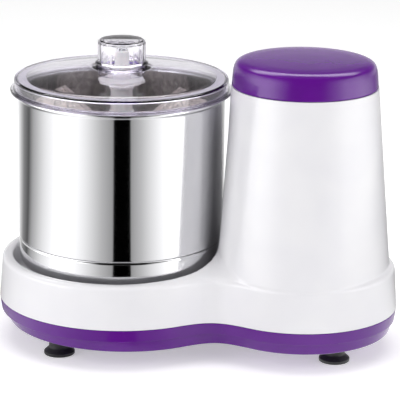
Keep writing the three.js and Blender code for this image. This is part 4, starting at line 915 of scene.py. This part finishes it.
corner_middle = DRUM_R - CORNER_R, DRUM_BOTTOM + CORNER_R
drum_profile = np.vstack([
    [(9.0, DRUM_BOTTOM)],
    arc(*corner_middle, CORNER_R, corner_angle),
    np.stack([DRUM_R - 0.8 * np.exp(-(groove_z / 1.1) ** 2), DRUM_BOTTOM + GROOVE_RISE + groove_z], -1),
    [(DRUM_R, 200), (DRUM_R, 250.6), (DRUM_R + 0.05, 251.6)],
    arc(DRUM_R - 0.05, DRUM_RIM - 2.3, 2.3, bead_angle),
    [(DRUM_R - DRUM_WALL, DRUM_RIM - 1.2), (DRUM_R - DRUM_WALL, DRUM_RIM - 3), (DRUM_R - DRUM_WALL, 200)],
    arc(*corner_middle, CORNER_R - DRUM_WALL, corner_angle[::-1]),
    [(9.0, DRUM_BOTTOM + DRUM_WALL), (9.0, DRUM_BOTTOM)],
])
show("drawn_steel_drum", lathe(drum_profile, 256), "drum_set", polished_steel, "drum", slot="steel", crisp=60)

# %% [markdown]
# ## Stones and their carrier
# The base stone fills the drum's lower part. Two conical roller stones turn on axles that a nylon sleeve
# holds on both sides of the centre. They are turned shapes too, laid along the axle's direction, which
# points a few degrees off the line from the drum to the tower.

# %% Base stone, tube and bush
stone_foot = [(18.6, 68.6), (28, 68.6), (28, 112.6), (72, 112.6), (72, 68.6)]
stone_top = rounded([(102.4, 99), (102.4, 145), (100.4, 146.6), (90, 146.6), (58, 132), (22, 162), (20, 163),
                     (9.9, 163), (9.9, 72.7), (18.6, 72.7), (18.6, 68.6)], [1.5, 2, 3, 14, 3, 2, 2, 0, 0], 5)
stone_profile = np.vstack([stone_foot, arc(74, 97, 28.4, corner_angle), stone_top])
show("ground_base_stone", lathe(stone_profile, 160), "drum_set", granite, "base_stone", slot="granite")
tube_profile = closed([(6.5, 68.5), (18.2, 68.5), (18.2, 71.8), (9.5, 71.8), (9.5, 229), (6.5, 229)],
                      [0.3, 0.5, 0.5, 1, 0.5, 0.5], 4)
show("drum_centre_tube", lathe(tube_profile), "drum_set", turned_steel, "drum_tube", slot="steel")
bush_profile = closed([(5.4, 229.3), (9.5, 229.3), (9.5, 233), (5.4, 233)], [0.3, 0.5, 0.5, 0.3], 3)
show("tube_nylon_bush", lathe(bush_profile), "bush", nylon, "tube_bush", slot="white_nylon")

# %% Stone carrier
AXLE_Z, AXLE_TURN = 195.5, 8


def along_axle(part, side):
    """Lays a part that was turned about Z along the stones' axle, to the right or the left."""
    points, faces = part
    laid = np.stack([points[:, 2], points[:, 1], -points[:, 0]], -1)
    heading = np.array(Matrix.Rotation(math.radians(AXLE_TURN + (0 if side > 0 else 180)), 3, "Z"))
    return laid @ heading.T + [0, 0, AXLE_Z], faces


sleeve_profile = closed([(10, 168.5), (16, 168.5), (16, 218.5), (12.5, 222.5), (12.5, 236), (11, 237.5),
                         (11, 257), (5.4, 257), (5.4, 233.3), (10, 233.3)],
                        [0.5, 1.2, 2, 2, 1, 1, 0.8, 0.4, 0.3, 0.3], 4)
arm = lathe(closed([(5.3, 12.5), (9, 12.5), (9, 21), (5.3, 21)], [0, 0, 1, 0.5], 3), 64)
show("carrier_sleeve", together(lathe(sleeve_profile), along_axle(arm, -1), along_axle(arm, 1)),
     "stone_carrier", nylon, "stone_sleeve", slot="white_nylon")

# %% Roller stones
roller_profile = closed([(8.6, 22), (30.5, 22), (33, 24), (61, 55), (63, 58), (61.5, 61), (50.4, 86),
                         (45, 90), (8.6, 90)], [1, 1.5, 2, 3, 3, 3, 3, 2, 1], 5)
bush_in_stone = closed([(5.3, 22.3), (8.3, 22.3), (8.3, 89.7), (5.3, 89.7)], [0.3] * 4, 3)
cap_end = rounded([(5.3, 90.6), (9.5, 90.6), (9.5, 97.2), (8.1, 98.6), (0, 98.6)], [0.5, 1, 0.8], 4)
axle_cap_profile = np.vstack([[(0, 96.3), (5.3, 96.3)], cap_end])
roller, bush = lathe(roller_profile, 128), lathe(bush_in_stone, 48)
axle, end_cap = rod(5, 17.3, 96, 0.6), lathe(axle_cap_profile, 64)
for side, label in ((-1, "left"), (1, "right")):
    for name, part, body, material, node, slot in (
            ("roller_stone_", roller, "roller_" + label, granite, "stone_", "granite"),
            ("roller_bush_", bush, "roller_" + label, nylon, "stone_bush_", "white_nylon"),
            ("roller_axle_", axle, "stone_carrier", turned_steel, "stone_axle_", "steel"),
            ("axle_end_cap_", end_cap, "stone_carrier", nylon, "axle_cap_", "white_nylon")):
        show(name + label, along_axle(part, side), body, material, node + label, slot=slot)

# %% [markdown]
# ## Lock knob
# The white lock knob screws onto the sleeve and keeps the stones down. Its rim has shallow finger
# hollows, so its radius follows a row of half sine waves, as deep as the profile's third column says.

# %% Lock knob
lock_profile = closed([(5.4, 257.3), (12.3, 257.3), (12.3, 264), (24, 264), (24, 267.5), (9.2, 267.5),
                       (9.2, 298), (5.4, 298)], [0.4, 0.6, 0.8, 1.2, 1.2, 1.5, 1.2, 0.4], 5)
HOLLOWS, HOLLOW_DEPTH = 10, 1.6
hollow_depth = np.clip((lock_profile[:, 0] - 18) / 6, 0, 1) * HOLLOW_DEPTH
show("lock_knob_moulding", lathe(np.column_stack([lock_profile, hollow_depth]), 200, HOLLOWS), "lock", nylon,
     "lock_knob", slot="white_nylon")

# %% [markdown]
# ## Lid
# The clear lid is one moulding: a flange that overlaps the drum, a short side with a tight shoulder, a
# level ledge, and a dome with a collar round its hole. The outer line and the inner line, a wall's
# thickness inside, are joined to one closed profile and turned.

# %% Lid
LID_LOW, LEDGE_TOP, LID_TOP = 257.3, 270.8, 283.5
LID_R, DOME_R, SHOULDER, LID_WALL = 107.6, 94.2, 2.0, 2.5
dome_r = np.linspace(DOME_R, 22.2, 24)[:, None]
dome = np.hstack([dome_r, LEDGE_TOP + 0.6 + (LID_TOP - LEDGE_TOP - 0.3) * (1 - (dome_r / DOME_R) ** 1.6)])
ledge = np.array([(LID_R - SHOULDER - 0.6, 0), (100, 0.1), (DOME_R + 1.6, 0.2), (DOME_R + 0.9, 0.3),
                  (DOME_R + 0.4, 0.45)]) + [0, LEDGE_TOP]
shoulder_angle = np.linspace(0, math.pi / 2, 7)[:-1]
shoulder = arc(LID_R - SHOULDER, LEDGE_TOP - SHOULDER, SHOULDER, shoulder_angle)
inner_shoulder = arc(LID_R - 3.7, LEDGE_TOP - 3.7, 1.2, shoulder_angle[::-1])
inner_dome = np.vstack([dome[::-1][2:], ledge[::-1]]) - [0, LID_WALL]
flange = rounded([(105, LID_LOW), (111.5, LID_LOW), (111.5, LID_LOW + 2.5), (LID_R, LID_LOW + 2.8),
                  (LID_R, LID_LOW + 6)], [0.7, 0.9, 0.9], 4)
collar_top, collar_low = dome[-1, 1], LID_TOP - 11.7
collar = rounded([(22.2, collar_top), (21, collar_top), (21, collar_low), (23.5, collar_low),
                  (23.5, inner_dome[0, 1] - 0.6), inner_dome[0]], [0.6, 0.8, 0.8, 0.8], 4)
foot_ring = rounded([(105.1, LID_LOW + 6), (105.1, LID_LOW + 2.5), (101.5, LID_LOW + 2.5), (101.5, LID_LOW),
                     (105, LID_LOW)], [0.6, 0.5, 0.5], 3)
lid_profile = np.vstack([flange, shoulder, ledge, dome, collar, inner_dome[1:], inner_shoulder, foot_ring])
show("domed_lid", lathe(lid_profile, 224), "lid_set", clear_plastic, "lid", slot="clear_plastic", crisp=50)

# %% [markdown]
# ## Seal and lid knob
# A pale band shows under the ledge all the way round. It is made as a thin ring of milky silicone that
# hangs there, because a clear wall alone has no colour of its own. The clear knob is a cup with fourteen
# hollow flutes, a small chamfer at its top and a thin wall, so that the white post inside shows.

# %% Seal under the lid's ledge
seal_low, seal_high = LEDGE_TOP - 3.9, LEDGE_TOP - 2.75
seal_ring = closed([(DOME_R + 0.8, seal_low), (LID_R - 4.2, seal_low), (LID_R - 4.2, seal_high - 0.3),
                    (DOME_R + 0.8, seal_high)], [0.3, 0.5, 0.4, 0.4], 3)
show("lid_ledge_seal", lathe(seal_ring, 224), "lid_set", silicone, slot="white_nylon")

# %% Lid knob
KNOB_LOW, KNOB_TOP, FLUTES, FLUTE_DEPTH = 283.8, 309.0, 14, 0.75
up_outside = [(22.2, 0, 0), (26.0, 0, 0), (26.5, 0.5, 0), (26.6, 1.3, 0), (26.4, 2.1, 0), (25.8, 2.5, 0),
              (24.9, 2.7, 0), (24.5, 3.2, 1), (24.4, 4.5, 1)]
over_top = [(24.4, -2.5, 1), (24.3, -2.2, 1), (24.0, -1.9, 1), (22.5, -0.5, 0.6), (22.1, -0.2, 0.4),
            (21.6, -0.05, 0.2), (21.0, 0, 0), (12, 0, 0), (0, 0, 0),
            (0, -2.3, 0), (19.6, -2.3, 0), (20.6, -2.5, 0), (21.9, -3.7, 0), (22.2, -4.6, 0)]
down_inside = [(22.2, 0.6, 0), (22.2, 0, 0)]
knob_profile = np.vstack([np.array(rows) * [1, 1, FLUTE_DEPTH] + [0, level, 0] for rows, level in (
    (up_outside, KNOB_LOW), (over_top, KNOB_TOP), (down_inside, KNOB_LOW))])
show("fluted_lid_knob", lathe(knob_profile, 280, FLUTES), "lid_set", clear_plastic, "lid_knob",
     slot="clear_plastic", crisp=30)

# %% [markdown]
# ## CAD nodes that stay
# Screws, bearings, pulleys, the belt and the motor are right as they are and mostly hidden, so they keep
# their CAD meshes and get real finishes.

# %% Finishes of the CAD nodes that stay
KEPT = {
    zinc_screw: ["casing_screw_%d" % i for i in range(1, 7)] + ["motor_screw_%d" % i for i in range(1, 5)]
    + ["shaft_nut", "hub_circlip", "motor_plate"],
    turned_steel: ["hub_bearing_lower", "hub_bearing_upper", "motor_bearing_lower", "motor_bearing_upper",
                   "motor_shaft"],
    cast_aluminium: ["drive_pulley", "motor_cover_lower", "motor_cover_upper", "motor_pulley"],
    laminated: ["motor_stator", "motor_rotor"],
    copper_wire: ["motor_winding_lower", "motor_winding_upper"],
    black_abs: ["motor_fan", "terminal_block"],
    black_rubber: ["drive_belt"],
    capacitor_can: ["capacitor"],
}
for material, names in KEPT.items():
    for name in names:
        kept_node = nodes[name]
        kept_node.data.materials.clear()
        kept_node.data.materials.append(material)
print("CAD nodes kept:", sum(len(names) for names in KEPT.values()))

# %% [markdown]
# ## The studio
# The object stands on a white floor that runs into a white background. The floor takes the lamps' light,
# so it keeps the soft shadow, and a little glow that only camera, mirror and glass rays see lifts it to
# the background's white.

# %% Floor and background
def seen_rays(tree):
    """One for rays that show the background: from the camera, from a mirror or through glass."""
    path = add(tree, "ShaderNodeLightPath")
    either = add(tree, "ShaderNodeMath", operation="MAXIMUM",
                 links={0: path.outputs["Is Camera Ray"], 1: path.outputs["Is Glossy Ray"]})
    return add(tree, "ShaderNodeMath", links={0: either.outputs[0], 1: path.outputs["Is Transmission Ray"]},
               operation="MAXIMUM").outputs[0]


FLOOR_GLOW, FLOOR_HALF, FLOOR_Z = 0.42, 9, -0.0002
floor_mesh = bpy.data.meshes.new("studio_floor")
floor_corners = [(x * FLOOR_HALF, y * FLOOR_HALF, FLOOR_Z) for x, y in ((-1, -1), (1, -1), (1, 1), (-1, 1))]
floor_mesh.from_pydata(floor_corners, [], [(0, 1, 2, 3)])
studio_floor = into_scene("studio_floor", floor_mesh)
floor_paper, tree, shader = new_finish("white_studio_paper", "F4F4F4", 0.9, more={"Specular IOR Level": 0.0})
strength = add(tree, "ShaderNodeMath", {1: FLOOR_GLOW}, {0: seen_rays(tree)}, operation="MULTIPLY")
glow = add(tree, "ShaderNodeEmission", {"Color": (1, 1, 1, 1)}, {"Strength": strength.outputs[0]})
both = add(tree, "ShaderNodeAddShader", links={0: shader.outputs[0], 1: glow.outputs[0]})
tree.links.new(both.outputs[0], tree.nodes["Material Output"].inputs["Surface"])
floor_mesh.materials.append(floor_paper)

AMBIENT = 0.34
world = bpy.data.worlds.new("studio")
bpy.context.scene.world = world
world.use_nodes = True
background = world.node_tree.nodes["Background"]
background.inputs["Color"].default_value = (1, 1, 1, 1)
level = add(world.node_tree, "ShaderNodeMapRange", {"To Min": AMBIENT, "To Max": 1.0},
            {"Value": seen_rays(world.node_tree)})
world.node_tree.links.new(level.outputs["Result"], background.inputs["Strength"])
print("floor glow", FLOOR_GLOW, "ambient", AMBIENT)

# %% [markdown]
# Two tall soft boxes stand left and right of the camera and one hangs above. They light the object and
# cast its soft shadow. Mirror rays don't see them: the cards of the next step draw the strips of light, so
# that light and reflections can be set apart from each other.

# %% Soft boxes
def soft_box(name, place, target, width, height, power):
    """A rectangular area lamp that points at a target and isn't mirrored: the cards take that over."""
    data = bpy.data.lights.new(name, "AREA")
    data.shape, data.size, data.size_y, data.energy = "RECTANGLE", width, height, power
    lamp = into_scene(name, data)
    lamp.location = place
    lamp.rotation_euler = (Vector(target) - Vector(place)).to_track_quat("-Z", "Y").to_euler()
    lamp.visible_glossy = False


soft_box("left_soft_box", (-1.7, -1.6, 0.9), (0, 0, 0.15), 1.3, 1.7, 24)
soft_box("right_soft_box", (2.1, -0.9, 0.9), (0.1, 0, 0.15), 1.3, 1.7, 18)
soft_box("top_soft_box", (0.0, 0.0, 2.4), (0, 0, 0), 2.2, 1.8, 28.5)
print("soft boxes: 3")

# %% [markdown]
# The polished drum is a mirror, and from this height it shows the floor. A printed card round the drum
# draws the dark strips that make polished steel look like steel: black towards the camera, grey beside
# it, white further round, and dark again at the sides. Further out the card is dark in the middle with
# two bright fields, which the glossy tower and cap show as their long highlights. A dome above the
# horizon carries the bright fields upwards. Behind the object it grows darker with height, so that the
# lid stays clear and the cap's top shades off, and one bright panel above draws the line of light on the
# rolled edges. Only mirror rays see the cards, and mirror and glass rays the dome.

# %% Cards for the steel and the lid
def glow_card(name, points, faces, brightness):
    """A card that only mirror rays see, with a brightness from 0 to 1 at each point."""
    mesh = bpy.data.meshes.new(name)
    mesh.from_pydata(points.reshape(-1, 3).tolist(), [], faces)
    level = mesh.attributes.new("brightness", "FLOAT", "POINT")
    level.data.foreach_set("value", np.ravel(brightness))
    card = into_scene(name, mesh)
    material = bpy.data.materials.new(name + "_print")
    material.use_nodes = True
    tree = material.node_tree
    tree.nodes.remove(tree.nodes["Principled BSDF"])
    printed = add(tree, "ShaderNodeAttribute", attribute_name="brightness")
    light = add(tree, "ShaderNodeEmission", {"Color": (1, 1, 1, 1)}, {"Strength": printed.outputs["Fac"]})
    tree.links.new(light.outputs[0], tree.nodes["Material Output"].inputs["Surface"])
    mesh.materials.append(material)
    card.visible_camera = card.visible_diffuse = card.visible_shadow = card.visible_transmission = False
    return card


def open_grid(rows, columns):
    """Faces of a grid with four free edges: a closed grid's, less those that close it."""
    return grid_faces(rows, columns).reshape(rows - 1, columns, 4)[:, :-1].reshape(-1, 4).tolist()


print("open grid of 3 by 4 has", len(open_grid(3, 4)), "faces")

# %% Card round the drum
TO_CAMERA = math.atan2(CAMERA_PLACE[1], CAMERA_PLACE[0] - DRUM_X / 1000)
card_turn = np.linspace(-180, 180, 721)
near_turns = [-180, -150, -132, -119, -110, -102, -90, -78, -70, -47, -38, -29, -20, -11, -8.3, -7.9,
              9.1, 9.5, 11, 20, 29, 38, 47, 80, 90, 97, 104, 111, 119, 128, 140, 155, 180]
near_level = np.interp(card_turn, near_turns, [
    1.4, 0.92, 0.3, 0.12, 0.48, 0.68, 1.05, 1.33, 1.6, 1.4, 1.17, 0.9, 0.63, 0.45, 0.4, 0,
    0, 0.4, 0.46, 0.67, 0.97, 1.24, 1.5, 1.5, 1.15, 0.8, 0.3, 0.03, 0, 0, 0.27, 0.62, 1.1])


def far_level(turn):
    """The far card's brightness by heading from the camera's: dark ahead, two bright fields beside."""
    return np.interp((turn + 180) % 360 - 180,
                     [-180, -125, -105, -85, -60, -42, -25, 25, 48, 62, 90, 110, 125, 180],
                     [0.6, 0.6, 2.2, 4, 4, 2, 0.04, 0.04, 1.6, 3.4, 3.4, 1.6, 0.4, 0.6])


STUDIO_R, CARD_Z = 5.4, 0.0008
card_heading = TO_CAMERA + np.radians(card_turn)
card_reach = np.array([0.15, 0.4, 0.7, 1.0, 1.25, 2.0, 3.2, STUDIO_R])[:, None]
card_share = np.array([0, 0, 0, 0, 1, 1, 1, 1.0])[:, None]
card_grid = card_reach.size, card_turn.size
card_points = np.stack([DRUM_X / 1000 + card_reach * np.cos(card_heading), card_reach * np.sin(card_heading),
                        np.full(card_grid, CARD_Z)], -1)
glow_card("steel_card", card_points, open_grid(*card_grid),
          near_level + card_share * (far_level(card_turn) - near_level))
print("camera heading from the drum:", round(math.degrees(TO_CAMERA), 1))

# %% Dome above the horizon
rise = np.linspace(0.05, 90, 46)[:, None]
turn = np.linspace(-180, 180, 121)[None, :]
heading, level_reach = TO_CAMERA + np.radians(turn), np.cos(np.radians(rise))
dome_points = STUDIO_R * np.stack([level_reach * np.cos(heading), level_reach * np.sin(heading),
                                   np.sin(np.radians(rise)) * np.ones_like(turn)], -1)
ahead = far_level(turn) * np.interp(rise, [0, 20, 32, 90], [1, 0.8, 0.04, 0.04])
behind = np.interp(rise, [0, 8, 13, 17, 22, 30, 42, 46, 66, 72, 90],
                   [1, 0.8, 0.62, 0.3, 0.16, 0.1, 0.1, 5, 5, 0.1, 0.1])
back_share = np.interp(np.abs(turn), [95, 125], [0, 1])
dome_level = ahead + back_share * (behind - ahead)
studio_dome = glow_card("studio_dome", dome_points, open_grid(rise.size, turn.size), dome_level)
studio_dome.visible_transmission = True
print("dome brightness up to", round(float(dome_level.max()), 1))

# %% View transform
scene = bpy.context.scene
scene.view_settings.view_transform = "Standard"
